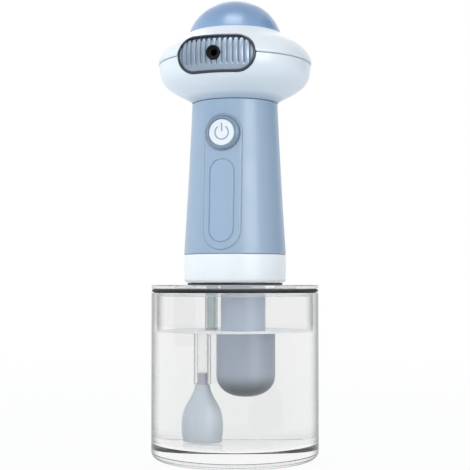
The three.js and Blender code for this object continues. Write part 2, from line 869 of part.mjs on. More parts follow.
function gearPiece(y, turn) {
  const pitch = (2 * Math.PI) / gear.teeth;
  const root = pitchRadius - gear.module * gear.dedendumShare;
  const corner = (radius, angle) => new THREE.Vector2(radius * Math.cos(angle), radius * Math.sin(angle));
  const points = Array.from({ length: gear.teeth }, (_, i) => i * pitch + turn).flatMap((angle) => [
    corner(root, angle - pitch * gearFlankShares.root),
    corner(pitchRadius, angle - pitch * gearFlankShares.pitch),
    corner(gearRadius, angle - pitch * gearFlankShares.tip),
    corner(gearRadius, angle + pitch * gearFlankShares.tip),
    corner(pitchRadius, angle + pitch * gearFlankShares.pitch),
    corner(root, angle + pitch * gearFlankShares.root),
  ]);
  const outline = new THREE.Shape(points);
  const hole = new THREE.Path();
  hole.absarc(0, 0, gearBore, 0, 2 * Math.PI, true);
  outline.holes.push(hole);
  const body = new THREE.ExtrudeGeometry(outline, {
    depth: gear.thickness,
    bevelEnabled: false,
    curveSegments: sides.pin / 2,
  });
  body.translate(pump.centre, y, gearBottom);
  return solid(body);
}

const pumpScrewPlaces = [-1, 1].map((side) => [
  pump.centre + side * (pumpHalfWidth - pumpScrew.insetX),
  -side * (pumpHalfDepth - pumpScrew.insetY),
]);
const bearingDepth = pump.floor / 2;

function pinHole(y, radius, from, to) {
  return upright(radius, from, to, [pump.centre, y]);
}

function gearPumpBody() {
  const over = cutOverrun;
  let body = block([...pumpLow, pumpBottom], [...pumpHigh, pumpTop]);
  const inletEnd = pumpLow[0] - pumpPort.nippleLength;
  const outletEnd = pumpHigh[0] + pumpPort.nippleLength;
  body = body.add(bar("x", pumpPort.nippleRadius, inletEnd, outletEnd, sides.pin, 0, 0, gearMiddle));
  [driveY, drivenY].forEach((y) => {
    body = body.subtract(upright(
      cavityRadius,
      gearBottom - runningGap,
      pumpTop + over,
      [pump.centre, y],
      sides.narrow,
    ));
    body = body.subtract(pinHole(y, gearBore, gearBottom - bearingDepth, gearBottom));
  });
  body = body.subtract(bar(
    "x",
    pumpPort.bore,
    inletEnd - over,
    outletEnd + over,
    sides.pin,
    0,
    0,
    gearMiddle,
  ));
  const seat = pumpLow[0] + airValve.seatDepth;
  body = body.subtract(
    bar(
      "x",
      airValve.radius + seatGap,
      pumpLow[0] - over,
      seat,
      sides.pin,
      0,
      valvePlace,
      gearMiddle,
    ),
  );
  body = body.subtract(
    bar("x", airValve.bleedRadius, seat - over, pump.centre, sides.pin, 0, valvePlace, gearMiddle),
  );
  pumpScrewPlaces.forEach(([x, y]) => {
    body = body.subtract(screwCut(x, y, pumpBottom, pumpTop, pumpScrew));
  });
  return body;
}

function gearPumpCover() {
  const over = cutOverrun;
  let plate = block([...pumpLow, pumpTop], [...pumpHigh, bracketBottom]);
  const through = shaft.radius + seatGap;
  plate = plate.subtract(pinHole(driveY, through, pumpTop - over, bracketBottom + over));
  plate = plate.subtract(pinHole(drivenY, gearBore, pumpTop - over, pumpTop + bearingDepth));
  plate = plate.subtract(
    pinHole(
      driveY,
      shaftSeal.radius + seatGap,
      bracketBottom - shaftSeal.thickness - seatGap,
      bracketBottom + over,
    ),
  );
  pumpScrewPlaces.forEach(([x, y]) => {
    plate = plate.subtract(upright(
      pumpScrew.shankRadius + seatGap,
      pumpTop - over,
      bracketBottom + over,
      [x, y],
    ));
  });
  return plate;
}

// The bracket that ties the pump and the motor to the posts
function pumpBracket() {
  const over = cutOverrun;
  let plate = ring(
    handleRadius(bracketTop) - handle.wall - seatGap,
    0,
    bracketBottom,
    bracketTop,
    sides.middle,
  );
  plate = plate.subtract(
    upright(hoseRadius + seatGap, bracketBottom - over, bracketTop + over, [hoseRise, 0]),
  );
  plate = plate.subtract(pinHole(
    driveY,
    shaft.radius + seatGap,
    bracketBottom - over,
    bracketTop + over,
  ));
  pumpScrewPlaces.forEach(([x, y]) => {
    plate = plate.subtract(
      upright(pumpScrew.shankRadius + seatGap / 2, bracketBottom - over, bracketTop + over, [x, y]),
    );
  });
  postPlaces.forEach(([x, y]) => {
    const headFoot = bracketTop - bracketScrew.headHeight - seatGap;
    plate = plate.subtract(upright(
      bracketScrew.headRadius + seatGap,
      headFoot,
      bracketTop + over,
      [x, y],
    ));
    plate = plate.subtract(
      upright(bracketScrew.shankRadius + seatGap, bracketBottom - over, bracketTop, [x, y]),
    );
  });
  return plate;
}

function motorCan() {
  const shape = turned(
    [
      [0, motorBottom],
      [motor.radius - motor.edge, motorBottom],
      [motor.radius, motorBottom + motor.edge],
      [motor.radius, motorTop - motor.edge],
      [motor.radius - motor.edge, motorTop],
      [motor.capRadius, motorTop],
      [motor.capRadius, motorTop + motor.capHeight],
      [0, motorTop + motor.capHeight],
    ],
    sides.narrow,
  );
  const bore = upright(
    shaft.radius + seatGap,
    motorBottom - cutOverrun,
    motorBottom + shaft.insideCan + seatGap,
    [0, 0],
  );
  return shape.subtract(bore);
}

// The foam hose: out of the pump's outlet, up past the motor and forward into the mixing chamber
function foamHosePiece() {
  const { bend, neckY } = foamHose;
  const clear = motor.radius + foamHose.motorGap + hoseRadius;
  const [besideX, besideY] = onCircle(clear, foamHose.motorAngle);
  const motorPass = [pump.centre + besideX, driveY + besideY];
  const neckX = spigotOuter - headSpigot.wall - foamHose.neckGap - hoseRadius;
  const inlet = seatGap - chamberRear;
  const points = [
    [pumpHigh[0] + seatGap, 0, gearMiddle],
    [hoseRise - bend, 0, gearMiddle],
    [hoseRise - bend * (1 - Math.SQRT1_2), 0, gearMiddle + bend * (1 - Math.SQRT1_2)],
    [hoseRise, 0, gearMiddle + bend],
    [hoseRise, 0, bracketTop],
    [...motorPass, (motorBottom + motorTop) / 2],
    [...motorPass, motorTop],
    [neckX, neckY, handleTop - headSpigot.depth],
    [neckX, neckY, handleTop],
    ...foamHoseShares.map(([xShare, yShare, heightShare]) => [
      neckX * xShare,
      neckY * yShare,
      handleTop + (grilleCentre - handleTop) * heightShare,
    ]),
    [0, inlet + bend, grilleCentre],
    [0, inlet, grilleCentre],
  ];
  return hose(points, foamHose.rows);
}

add("gear_pump_body", gearPumpBody(), creamPlastic);
add("gear_pump_cover", gearPumpCover(), creamPlastic);
const sealFoot = bracketBottom - shaftSeal.thickness;
const driveGroup = new THREE.Group();
driveGroup.position.set(pump.centre, driveY, 0);
product.add(driveGroup);
add(
  "shaft_seal",
  ring(shaftSeal.radius, gearBore, sealFoot, bracketBottom, sides.slim),
  blackRubber,
  driveGroup,
);
add(
  "air_valve",
  bar(
    "x",
    airValve.radius,
    pumpLow[0] + airValve.seatDepth - seatGap - airValve.length,
    pumpLow[0] + airValve.seatDepth - seatGap,
    sides.pin,
    0,
    valvePlace,
    gearMiddle,
  ),
  blackRubber,
);
add("pump_bracket", pumpBracket(), greyPlastic);
pumpScrewPlaces.forEach(([x, y], i) => {
  const head = upright(pumpScrew.headRadius, pumpBottom, pumpBottom + pumpScrew.headHeight, [x, y]);
  const shank = upright(pumpScrew.shankRadius, pumpBottom, bracketTop - seatGap, [x, y]);
  add("pump_screw_" + (i + 1), head.add(shank), steel);
});
postPlaces.forEach(([x, y], i) => {
  const head = upright(bracketScrew.headRadius, bracketTop - bracketScrew.headHeight, bracketTop, [x, y]);
  const foot = bracketTop - bracketScrew.headHeight - bracketScrew.shankLength;
  const shank = upright(bracketScrew.shankRadius, foot, bracketTop, [x, y]);
  add("bracket_screw_" + (i + 1), head.add(shank), steel);
});
add("motor_can", motorCan(), steel, driveGroup);
const pinFoot = gearBottom - bearingDepth + seatGap;
add("motor_shaft", pinHole(driveY, shaft.radius, pinFoot, motorBottom + shaft.insideCan), steel);
add("drive_gear", gearPiece(driveY, quarter), creamPlastic);
add("driven_gear", gearPiece(drivenY, quarter + Math.PI / gear.teeth + Math.PI), creamPlastic);
add("idler_pin", pinHole(drivenY, shaft.radius, pinFoot, pumpTop + bearingDepth - seatGap), steel);
add("foam_hose", foamHosePiece(), softTube);

// The panel's outline and those of what is set into the front of the handle
const panelMiddle = (panelTop + panelFoot) / 2;
const gripMiddle = (gripTop + gripFoot) / 2;
const panelOutline = (grow) =>
  rounded(panel.width + grow * 2, panelTop - panelFoot + grow * 2, panel.width / 2 + grow);
const gripOutline = (grow) =>
  rounded(grip.width + grow * 2, gripTop - gripFoot + grow * 2, grip.width / 2 + grow);
const buttonFace = handleRadius(buttonHeight) + panel.proud + bezel.proud;
const frontReach = footRadius + panel.proud + cutOverrun;
const boardFace = -(handleRadius(buttonHeight) - handle.wall - board.fromWall);
const boardBack = boardFace + board.thickness;

function controlPanel() {
  const steps = arcSteps.round;
  const body = frontPrism(panelOutline(0), -frontReach, 0, panelMiddle, steps).intersect(
    handleLayer(panel.proud, seatGap - panel.recess, handleFoot, handleTop),
  );
  const gripCut = frontPrism(gripOutline(grip.groove), -frontReach, 0, gripMiddle, steps).intersect(
    handleLayer(panel.proud + cutOverrun, panel.proud - grip.depth, handleFoot, handleTop),
  );
  const bezelHole = level(bezelRadius + seatGap, -frontReach, 0, buttonHeight, sides.narrow);
  return body.subtract(gripCut).subtract(bezelHole);
}

function gripInlay() {
  return frontPrism(gripOutline(0), -frontReach, 0, gripMiddle, arcSteps.round).intersect(
    handleLayer(grip.proud, panel.proud - grip.depth + seatGap, handleFoot, handleTop),
  );
}

// The ring round the button: its front edge is round, its back follows the handle
function buttonBezel() {
  const outer = bezelRadius;
  const inner = button.radius + runningGap;
  const shape = turned(
    [
      [inner, 0],
      [outer, 0],
      [outer, buttonFace - bezel.round],
      [outer - bezel.round, buttonFace],
      [inner + bezel.round, buttonFace],
      [inner, buttonFace - bezel.round],
    ],
    sides.narrow,
    buttonHeight,
  );
  const beyond = panel.proud + bezel.proud + cutOverrun;
  return shape.intersect(handleLayer(beyond, seatGap - panel.recess, handleFoot, handleTop));
}

const capFront = -(buttonFace - bezel.capDrop);
const capBack = capFront + button.thickness;
const plungerTip = boardFace - tact.depth - tact.plungerLength;
const stemEnd = plungerTip - button.travel - runningGap - boot.thickness;

function buttonCap() {
  const bowl = turned(
    [
      [0, -capBack],
      [button.radius, -capBack],
      [button.radius, -capFront - button.dish / 2],
      [button.radius - button.dish, -capFront],
      [button.radius / 2, -capFront - button.dish / 2],
      [0, -capFront - button.dish],
    ],
    sides.narrow,
    buttonHeight,
  );
  return bowl.add(level(button.stemRadius, capBack - button.dish, stemEnd, buttonHeight));
}

add("control_panel", controlPanel(), bluePlastic);
add("grip_inlay", gripInlay(), bluePlastic);
add("button_bezel", buttonBezel(), bluePlastic);
add("button_cap", buttonCap(), whitePlastic);
add(
  "button_boot",
  level(boot.radius, stemEnd, stemEnd + boot.thickness, buttonHeight),
  darkRubber,
);
add(
  "tact_switch",
  block(
    [-tact.size / 2, boardFace - tact.depth, buttonHeight - tact.size / 2],
    [tact.size / 2, boardFace, buttonHeight + tact.size / 2],
  ).add(level(tact.plungerRadius, plungerTip, boardFace - tact.depth, buttonHeight)),
  blackPlastic,
);

// A solid core of the handle, for trimming what is moulded onto its inner wall
function handleCore(offset) {
  const heights = Array.from(
    { length: handleRows + 1 },
    (_, i) => handleFoot + ((handleTop - handleFoot) * i) / handleRows,
  );
  return turned(
    [[0, handleFoot], ...heights.map((z) => [handleRadius(z) + offset, z]), [0, handleTop]],
    sides.wide,
  );
}

// The charging socket and its cover, at the rear
const portFace = handleRadius(portHeight) - cover.thickness - seatGap * 2;
const portBack = portFace - port.depth;
const rearReach = footRadius + cutOverrun;
const portRound = port.thickness / 2;
const coverOutline = (grow) =>
  rounded(cover.width + grow * 2, cover.height + grow * 2, cover.cornerRadius + grow);

function portCover() {
  const plugWidth = port.width - (port.wall + cover.plugInset) * 2;
  const plugHeight = port.thickness - (port.wall + cover.plugInset) * 2;
  const plugFoot = portFace - cover.plugDepth;
  const flap = frontPrism(coverOutline(0), 0, rearReach, portHeight, arcSteps.small).intersect(
    handleLayer(0, -cover.thickness, handleFoot, handleTop),
  );
  const plug = frontPrism(
    rounded(plugWidth, plugHeight, plugHeight / 2),
    plugFoot,
    handleRadius(portHeight) - cover.thickness / 2,
    portHeight,
    arcSteps.small,
  );
  return flap.add(plug);
}

function chargePort() {
  const outline = (grow) => rounded(port.width + grow * 2, port.thickness + grow * 2, portRound + grow);
  const body = frontPrism(outline(0), portBack, portFace, portHeight, arcSteps.small);
  const mouth = frontPrism(
    outline(-port.wall),
    portBack + port.wall,
    portFace + cutOverrun,
    portHeight,
    arcSteps.small,
  );
  const tongueReach = portFace - cover.plugDepth - seatGap;
  const tongueWidth = port.width / 2 - portRound;
  const tongue = block(
    [-tongueWidth, portBack, portHeight - port.tongue / 2],
    [tongueWidth, tongueReach, portHeight + port.tongue / 2],
  );
  return body.subtract(mouth).add(tongue);
}

// The handle's tube, with its recesses, bosses and rails
function handleShell() {
  let shell = handleLayer(0, -handle.wall, handleFoot, handleTop);
  const trim = handleCore(-handle.wall / 2);
  boardScrewHeights.forEach((z) => {
    const boss = level(boardBoss.radius, -frontReach, boardFace - seatGap, z);
    shell = shell.add(boss.intersect(trim));
    shell = shell.subtract(
      level(boardScrew.shankRadius + seatGap / 2, boardFace - boardScrew.shankLength, 0, z),
    );
  });
  const railFoot = portBack - portBoard.thickness - seatGap * 2;
  const railInner = portBoard.width / 2 + seatGap;
  [-1, 1].forEach((side) => {
    const edges = [side * railInner, side * (railInner + portBoard.railWidth)].sort((a, b) => a - b);
    const rail = block(
      [edges[0], railFoot, portHeight - portBoard.height / 2],
      [edges[1], rearReach, portHeight + portBoard.height / 2],
    );
    shell = shell.add(rail.intersect(trim));
  });
  const over = cutOverrun + panel.proud;
  const panelCut = frontPrism(panelOutline(seatGap), -frontReach, 0, panelMiddle, arcSteps.round).intersect(
    handleLayer(over, -panel.recess, handleFoot, handleTop),
  );
  const coverCut = frontPrism(coverOutline(seatGap), 0, rearReach, portHeight, arcSteps.small).intersect(
    handleLayer(over, -cover.thickness - seatGap, handleFoot, handleTop),
  );
  const portCut = frontPrism(
    rounded(port.width + seatGap * 2, port.thickness + seatGap * 2, portRound + seatGap),
    portBack,
    rearReach,
    portHeight,
    arcSteps.small,
  );
  const stemCut = level(boot.radius + seatGap * 2, -frontReach, 0, buttonHeight, sides.slim);
  return shell.subtract(panelCut).subtract(coverCut).subtract(portCut).subtract(stemCut);
}

function controlBoard() {
  let plate = block([-board.width / 2, boardFace, boardFoot], [board.width / 2, boardBack, boardTop]);
  boardScrewHeights.forEach((z) => {
    plate = plate.subtract(
      level(boardScrew.shankRadius + seatGap, boardFace - cutOverrun, boardBack + cutOverrun, z),
    );
  });
  return plate;
}

add("handle_shell", handleShell(), bluePlastic);
add("control_board", controlBoard(), boardGreen);
boardScrewHeights.forEach((z, i) => {
  const head = level(boardScrew.headRadius, boardBack, boardBack + boardScrew.headHeight, z);
  const tip = boardFace - boardScrew.shankLength + seatGap;
  const shank = level(boardScrew.shankRadius, tip, boardBack + boardScrew.headHeight / 2, z);
  add("board_screw_" + (i + 1), head.add(shank), steel);
});
add("charge_port", chargePort(), steel);
add(
  "charge_board",
  block(
    [-portBoard.width / 2, portBack - portBoard.thickness, portHeight - portBoard.height / 2],
    [portBoard.width / 2, portBack, portHeight + portBoard.height / 2],
  ),
  boardGreen,
);
add("port_cover", portCover(), bluePlastic);

// The head's outlines
const bowlTop = headSeam - seatGap / 2;
const crownBottom = headSeam + seatGap / 2;
const bowlOutline = bowlShares.map(([radiusShare, heightShare]) => [
  headNeckRadius + (head.radius - headNeckRadius) * radiusShare,
  headBottom + (bowlTop - headBottom) * heightShare,
]);
const crownOutline = crownShares.map(([radiusShare, heightShare]) => [
  crown.openingRadius + (crownRadius - crown.openingRadius) * radiusShare,
  crownBottom + (crownTop - crownBottom) * heightShare,
]);
const lapRadius = head.radius - head.wall / 2;
const lapTop = bowlTop + head.lap;

// The grille follows a barrel that bulges a little less than the head
function barrelLayer(outerOffset, innerOffset) {
  const reach = grille.halfHeight + cutOverrun;
  const heights = Array.from(
    { length: grilleBarrel.rows + 1 },
    (_, i) => -reach + (2 * reach * i) / grilleBarrel.rows,
  );
  const radius = (z) => barrelRadius - grilleBarrel.bulge * (z / grille.halfHeight) ** 2;
  const outer = heights.map((z) => [radius(z) + outerOffset, grilleCentre + z]);
  const inner = heights.map((z) => [radius(z) + innerOffset, grilleCentre + z]).reverse();
  return turned([...outer, ...inner], sides.wide);
}

const grilleOutline = (grow) =>
  rounded((grille.halfWidth + grow) * 2, (grille.halfHeight + grow) * 2, grille.halfHeight + grow);
const grilleReach = barrelRadius + nozzle.proud + cutOverrun;
const grilleCut = () =>
  frontPrism(grilleOutline(seatGap), -grilleReach, -chamberFront / 2, grilleCentre, arcSteps.round);

function headLowerShell() {
  const inner = everySecond(inset(bowlOutline, head.wall).filter(([radius]) => radius > headNeckRadius));
  const spigotInner = spigotOuter - headSpigot.wall;
  const floor = inner[0][1];
  const shell = turned(
    [
      [spigotInner, headBottom - headSpigot.depth],
      [spigotOuter, headBottom - headSpigot.depth],
      [spigotOuter, headBottom],
      ...bowlOutline,
      [lapRadius - seatGap / 2, bowlTop],
      [lapRadius - seatGap / 2, lapTop],
      [head.radius - head.wall, lapTop],
      ...inner.reverse(),
      [spigotInner, floor],
    ],
    sides.wide,
  );
  const trim = turned([[0, headBottom], ...inset(bowlOutline, head.wall / 2), [0, bowlTop]], sides.wide);
  const post = block(
    [-cradle.width / 2, -cradle.from - cradle.depth, headBottom],
    [cradle.width / 2, -cradle.from, grilleCentre - chamber.radius - seatGap],
  );
  return shell.subtract(grilleCut()).add(post.intersect(trim));
}

function headUpperShell() {
  const lapFloor = lapTop + seatGap;
  const inner = everySecond(inset(crownOutline, crown.wall).filter(([, z]) => z > lapFloor));
  const shell = turned(
    [
      [lapRadius + seatGap / 2, crownBottom],
      ...crownOutline,
      [crown.openingRadius, crownTop - seatGap],
      [crown.openingRadius, inner[inner.length - 1][1]],
      ...inner.reverse().slice(1),
      [crownRadius - crown.wall, lapFloor],
      [lapRadius + seatGap / 2, lapFloor],
    ],
    sides.wide,
  );
  return shell.subtract(grilleCut());
}

function domePiece() {
  const skirtRadius = crown.openingRadius - dome.skirtInset;
  const innerRadius = domeRadius - dome.wall;
  const startAngle = Math.acos(skirtRadius / domeRadius);
  const innerAngle = Math.acos((skirtRadius - dome.wall) / innerRadius);
  const crownInner = inset(crownOutline, crown.wall);
  const rimRadius = skirtRadius + domeFlange.reach;
  const under = crownInner.filter(([radius]) => radius > rimRadius).pop()[1];
  const rimTop = under - seatGap;
  const rimFoot = rimTop - domeFlange.thickness;
  const outer = roundPoints(0, domeCentre, domeRadius, startAngle, quarter, domeRows);
  const inner = roundPoints(0, domeCentre, innerRadius, quarter, innerAngle, arcSteps.hidden);
  outer[outer.length - 1][0] = 0;
  inner[0][0] = 0;
  return turned(
    [
      [skirtRadius - dome.wall, rimFoot],
      [rimRadius, rimFoot],
      [rimRadius, rimTop],
      [skirtRadius, rimTop],
      ...outer,
      ...inner,
    ],
    sides.wide,
  );
}

function nozzleFrame() {
  const outer = frontPrism(grilleOutline(0), -grilleReach, 0, grilleCentre, arcSteps.round);
  const inner = frontPrism(
    grilleOutline(-grille.frameWidth),
    -grilleReach,
    0,
    grilleCentre,
    arcSteps.round,
  );
  return outer.subtract(inner).intersect(barrelLayer(grille.proud, -grille.depth * 2));
}

// The ribbed plate in the frame: upright slots, each with a deeper notch at its top
function nozzlePlate() {
  const edge = grille.frameWidth + seatGap;
  const body = frontPrism(grilleOutline(-edge), -grilleReach, 0, grilleCentre, arcSteps.round).intersect(
    barrelLayer(0, -grille.depth),
  );
  const halfHeight = grille.halfHeight - edge;
  const straight = grille.halfWidth - grille.halfHeight;
  const count = Math.floor((grille.halfWidth - edge - rib.pitch / 2) / rib.pitch);
  const slots = Array.from({ length: count * 2 + 1 }, (_, i) => (i - count) * rib.pitch).map((x) => {
    const beyond = Math.max(Math.abs(x) - straight, 0);
    const reach = Math.sqrt(halfHeight ** 2 - beyond ** 2) - rib.slot;
    const slot = block(
      [x - rib.slot / 2, -grilleReach, grilleCentre - reach],
      [x + rib.slot / 2, 0, grilleCentre + reach],
    ).intersect(barrelLayer(cutOverrun, -rib.depth));
    const notch = block(
      [x - rib.notchWidth / 2, -grilleReach, grilleCentre + reach - rib.notchHeight],
      [x + rib.notchWidth / 2, 0, grilleCentre + reach],
    ).intersect(barrelLayer(cutOverrun, -rib.notchDepth));
    return slot.add(notch);
  });
  const hole = level(nozzle.radius + seatGap, -grilleReach, 0, grilleCentre, sides.slim);
  return slots.reduce((all, slot) => all.subtract(slot), body).subtract(hole);
}

const chamberBore = chamber.radius - chamber.wall;

function mixingChamber() {
  const body = level(chamber.radius, -chamberFront, -chamberRear, grilleCentre, sides.slim);
  const inletEnd = -chamberRear + chamber.inlet;
  const nipple = level(pumpPort.nippleRadius, -chamberRear - seatGap, inletEnd, grilleCentre);
  const hollow = level(
    chamberBore,
    -chamberFront - cutOverrun,
    -chamberRear - chamber.floor,
    grilleCentre,
    sides.slim,
  );
  const bore = level(pumpPort.bore, -chamberFront, inletEnd + cutOverrun, grilleCentre);
  return body.add(nipple).subtract(hollow).subtract(bore);
}

function foamNozzle() {
  const front = -(barrelRadius + nozzle.proud);
  const flangeFront = -chamberFront + seatGap;
  const over = cutOverrun;
  const barrel = level(
    nozzle.radius,
    front,
    flangeFront + nozzle.flangeThickness / 2,
    grilleCentre,
    sides.slim,
  );
  const flange = level(
    chamberBore - seatGap,
    flangeFront,
    flangeFront + nozzle.flangeThickness,
    grilleCentre,
    sides.slim,
  );
  const mouth = level(nozzle.mouthRadius, front - over, front + nozzle.mouthDepth, grilleCentre);
  const bore = level(nozzle.bore, front, 0, grilleCentre);
  return barrel.add(flange).subtract(mouth).subtract(bore);
}

add("head_lower_shell", headLowerShell(), whitePlastic);
add("head_upper_shell", headUpperShell(), whitePlastic);
add("dome", domePiece(), blueGloss);
add("nozzle_frame", nozzleFrame(), slatePlastic);
add("nozzle_plate", nozzlePlate(), silverPlastic);
add("foam_nozzle", foamNozzle(), blackPlastic);
add("mixing_chamber", mixingChamber(), creamPlastic);
foamMesh.fromRear.forEach((depth, i) => {
  const disc = perforatedDisc(
    chamberBore - seatGap,
    foamMesh.thickness,
    foamMesh.holeRadius,
    foamMesh.holeRings,
    foamMesh.holeRadius * 3,
    grilleCentre,
    -chamberRear - depth,
  );
  add("foam_mesh_" + (i + 1), disc, steel);
});

export default product;
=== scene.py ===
# Pet foam shampoo dispenser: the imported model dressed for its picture. Shapes are in mm, turned to metres in makeMesh.
import json
import math
import bmesh
import bpy
import numpy as np
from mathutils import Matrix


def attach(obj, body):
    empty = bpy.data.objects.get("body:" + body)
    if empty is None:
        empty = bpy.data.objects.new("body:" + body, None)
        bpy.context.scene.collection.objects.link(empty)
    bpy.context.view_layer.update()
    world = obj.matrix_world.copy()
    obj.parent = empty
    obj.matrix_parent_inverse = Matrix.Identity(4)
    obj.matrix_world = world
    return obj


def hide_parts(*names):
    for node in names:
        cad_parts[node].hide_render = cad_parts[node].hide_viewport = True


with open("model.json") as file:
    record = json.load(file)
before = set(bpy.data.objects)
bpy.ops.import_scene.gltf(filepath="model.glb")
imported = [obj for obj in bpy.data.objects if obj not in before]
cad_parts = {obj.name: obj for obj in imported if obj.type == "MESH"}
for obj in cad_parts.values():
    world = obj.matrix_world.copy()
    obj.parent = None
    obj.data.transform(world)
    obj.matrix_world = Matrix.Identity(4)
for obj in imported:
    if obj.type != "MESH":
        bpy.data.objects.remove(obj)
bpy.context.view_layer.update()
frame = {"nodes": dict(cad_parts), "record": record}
scene = bpy.context.scene
scene.view_settings.view_transform = "Standard"
mm = 0.001
tau = 2 * math.pi


# small tools for shapes

def toPoints(*parts):
    # coordinates side by side, as points
    return np.stack(parts, axis=-1)


def gridFaces(rows, columns, wrapRows, wrapColumns):
    # quads between neighbours of a grid of points, closed in either direction where asked
    r = np.arange(rows if wrapRows else rows - 1)[:, None]
    c = np.arange(columns if wrapColumns else columns - 1)[None, :]
    nextR, nextC = (r + 1) % rows, (c + 1) % columns
    quads = [r * columns + c, r * columns + nextC, nextR * columns + nextC, nextR * columns + c]
    return toPoints(*quads).reshape(-1, 4).tolist()


def makeMesh(name, points, faces):
    # mm to metres; points closer than 0.0002 mm are merged, and faces are turned outwards
    mesh = bpy.data.meshes.new(name)
    mesh.from_pydata((np.asarray(points, float).reshape(-1, 3) * mm).tolist(), [], faces)
    build = bmesh.new()
    build.from_mesh(mesh)
    bmesh.ops.remove_doubles(build, verts=build.verts, dist=2e-7)
    bmesh.ops.recalc_face_normals(build, faces=build.faces)
    build.to_mesh(mesh)
    build.free()
    piece = bpy.data.objects.new(name, mesh)
    scene.collection.objects.link(piece)
    return piece


def filletPath(corners, steps=6):
    # a corner (radius, height, round) becomes an arc that touches both of its edges; plain corners stay sharp
    parts = []
    for i, corner in enumerate(corners):
        here = np.array(corner[:2], float)
        if len(corner) < 3:
            parts.append(here[None])
            continue
        back = np.array(corners[i - 1][:2]) - here
        ahead = np.array(corners[(i + 1) % len(corners)][:2]) - here
        back, ahead = back / np.linalg.norm(back), ahead / np.linalg.norm(ahead)
        half = math.acos(np.clip(back @ ahead, -1, 1)) / 2
        middle = here + (back + ahead) / np.linalg.norm(back + ahead) * corner[2] / math.sin(half)
        first, last = here + back * corner[2] / math.tan(half), here + ahead * corner[2] / math.tan(half)
        start = math.atan2(*(first - middle)[::-1])
        turn = (math.atan2(*(last - middle)[::-1]) - start + tau / 2) % tau - tau / 2
        angle = start + np.linspace(0, turn, steps + 1)
        parts.append(middle + corner[2] * toPoints(np.cos(angle), np.sin(angle)))
    return np.concatenate(parts)


def smoothPath(points, steps=6):
    # Catmull-Rom curve: each span is the cubic whose slope at a point is half the step between its neighbours
    p = np.array(points, float)
    p = np.vstack([2 * p[0] - p[1], p, 2 * p[-1] - p[-2]])
    a, b, c, d = p[:-3, None], p[1:-2, None], p[2:-1, None], p[3:, None]
    t = np.linspace(0, 1, steps, endpoint=False)[None, :, None]
    spans = 0.5 * (2 * b + (c - a) * t + (2 * a - 5 * b + 4 * c - d) * t**2 + (3 * b - a - 3 * c + d) * t**3)
    return np.vstack([spans.reshape(-1, 2), p[-2]])


def offsetPath(path, distance):
    # each point moves along the normal of the path there, to its left for a positive distance
    slope = np.gradient(np.asarray(path, float), axis=0)
    slope /= np.linalg.norm(slope, axis=1, keepdims=True)
    return path + distance * toPoints(-slope[:, 1], slope[:, 0])


def revolve(name, path, segments=96, centre=(0, 0), closed=True, forwardAt=None):
    # a profile of (radius, height) turned about an upright axis: x and y are radius times cosine and sine.
    # With forwardAt it turns about a front-to-back axis at that height, and its heights are read as y.
    path = np.asarray(path, float)
    angle = np.linspace(0, tau, segments, endpoint=False)[None, :]
    radius, along = path[:, :1], path[:, 1:2] + 0 * angle
    across, up = radius * np.cos(angle), radius * np.sin(angle)
    if forwardAt is None:
        grid = toPoints(centre[0] + across, centre[1] + up, along)
    else:
        grid = toPoints(centre[0] + across, along, forwardAt + up)
    return makeMesh(name, grid, gridFaces(len(path), segments, closed, True))


def rod(radius, start, end, segments=64, centre=(0, 0), forwardAt=None):
    # a plain round bar to drill with
    path = [(0, start), (radius, start), (radius, end), (0, end)]
    return revolve("rod", path, segments, centre, False, forwardAt)


def ringPath(inner, outer, foot, top, rounds):
    # section of a ring with rounded corners, from the inner foot on
    return filletPath(list(zip((inner, outer, outer, inner), (foot, foot, top, top), rounds)), 4)


def sweepSolid(name, grid):
    # rows run round a closed section, columns along the sweep; both ends are capped with one face
    rows, columns = grid.shape[:2]
    first = (np.arange(rows) * columns).tolist()
    last = (np.arange(rows) * columns + columns - 1).tolist()
    return makeMesh(name, grid, gridFaces(rows, columns, True, False) + [first, last[::-1]])


def outlineRing(halfWidth, halfHeight, corner, inset, cornerSteps=12, sideSteps=14):
    # a rectangle with round corners, drawn inwards by the inset, as (x, z) points
    w, h = halfWidth - inset, halfHeight - inset
    c = max(corner - inset, 0)
    turn = np.linspace(0, tau / 4, cornerSteps + 1)
    arcs = [
        toPoints(sx * (w - c) + c * np.cos(turn + start), sz * (h - c) + c * np.sin(turn + start))
        for sx, sz, start in ((1, 1, 0), (-1, 1, tau / 4), (-1, -1, tau / 2), (1, -1, tau * 3 / 4))
    ]
    share = np.linspace(0, 1, sideSteps + 2)[1:-1, None]
    sides = [arcs[i][-1] * (1 - share) + arcs[(i + 1) % 4][0] * share for i in range(4)]
    return np.concatenate([part for pair in zip(arcs, sides) for part in pair])


def pad(name, half, corner, section, centreHeight, surface, side=-1, closed=False):
    # a plate that lies on a round surface: section is (inset from the outline, height over the surface),
    # and y is the root of (surface radius + height) squared less x squared
    rings = np.stack([outlineRing(*half, corner, inset) for inset, _ in section])
    lift = np.array([height for _, height in section], float)[:, None]
    x, z = rings[..., 0], rings[..., 1] + centreHeight
    y = side * np.sqrt(np.maximum((surface(z) + lift) ** 2 - x**2, 0))
    return makeMesh(name, toPoints(x, y, z), gridFaces(*x.shape, closed, True))


def padSection(width, back, front, edge, rings=7):
    # back centre, back edge, rounded front edge, front centre
    turn = np.linspace(0, tau / 4, 6)
    inwards = np.linspace(0, 1, rings)
    rim = [(edge * (1 - math.cos(a)), front - edge * (1 - math.sin(a))) for a in turn]
    backRings = [(width * t, back) for t in inwards[::-1]]
    frontRings = [(edge + (width - edge) * t, front) for t in inwards[1:]]
    return backRings + rim + frontRings


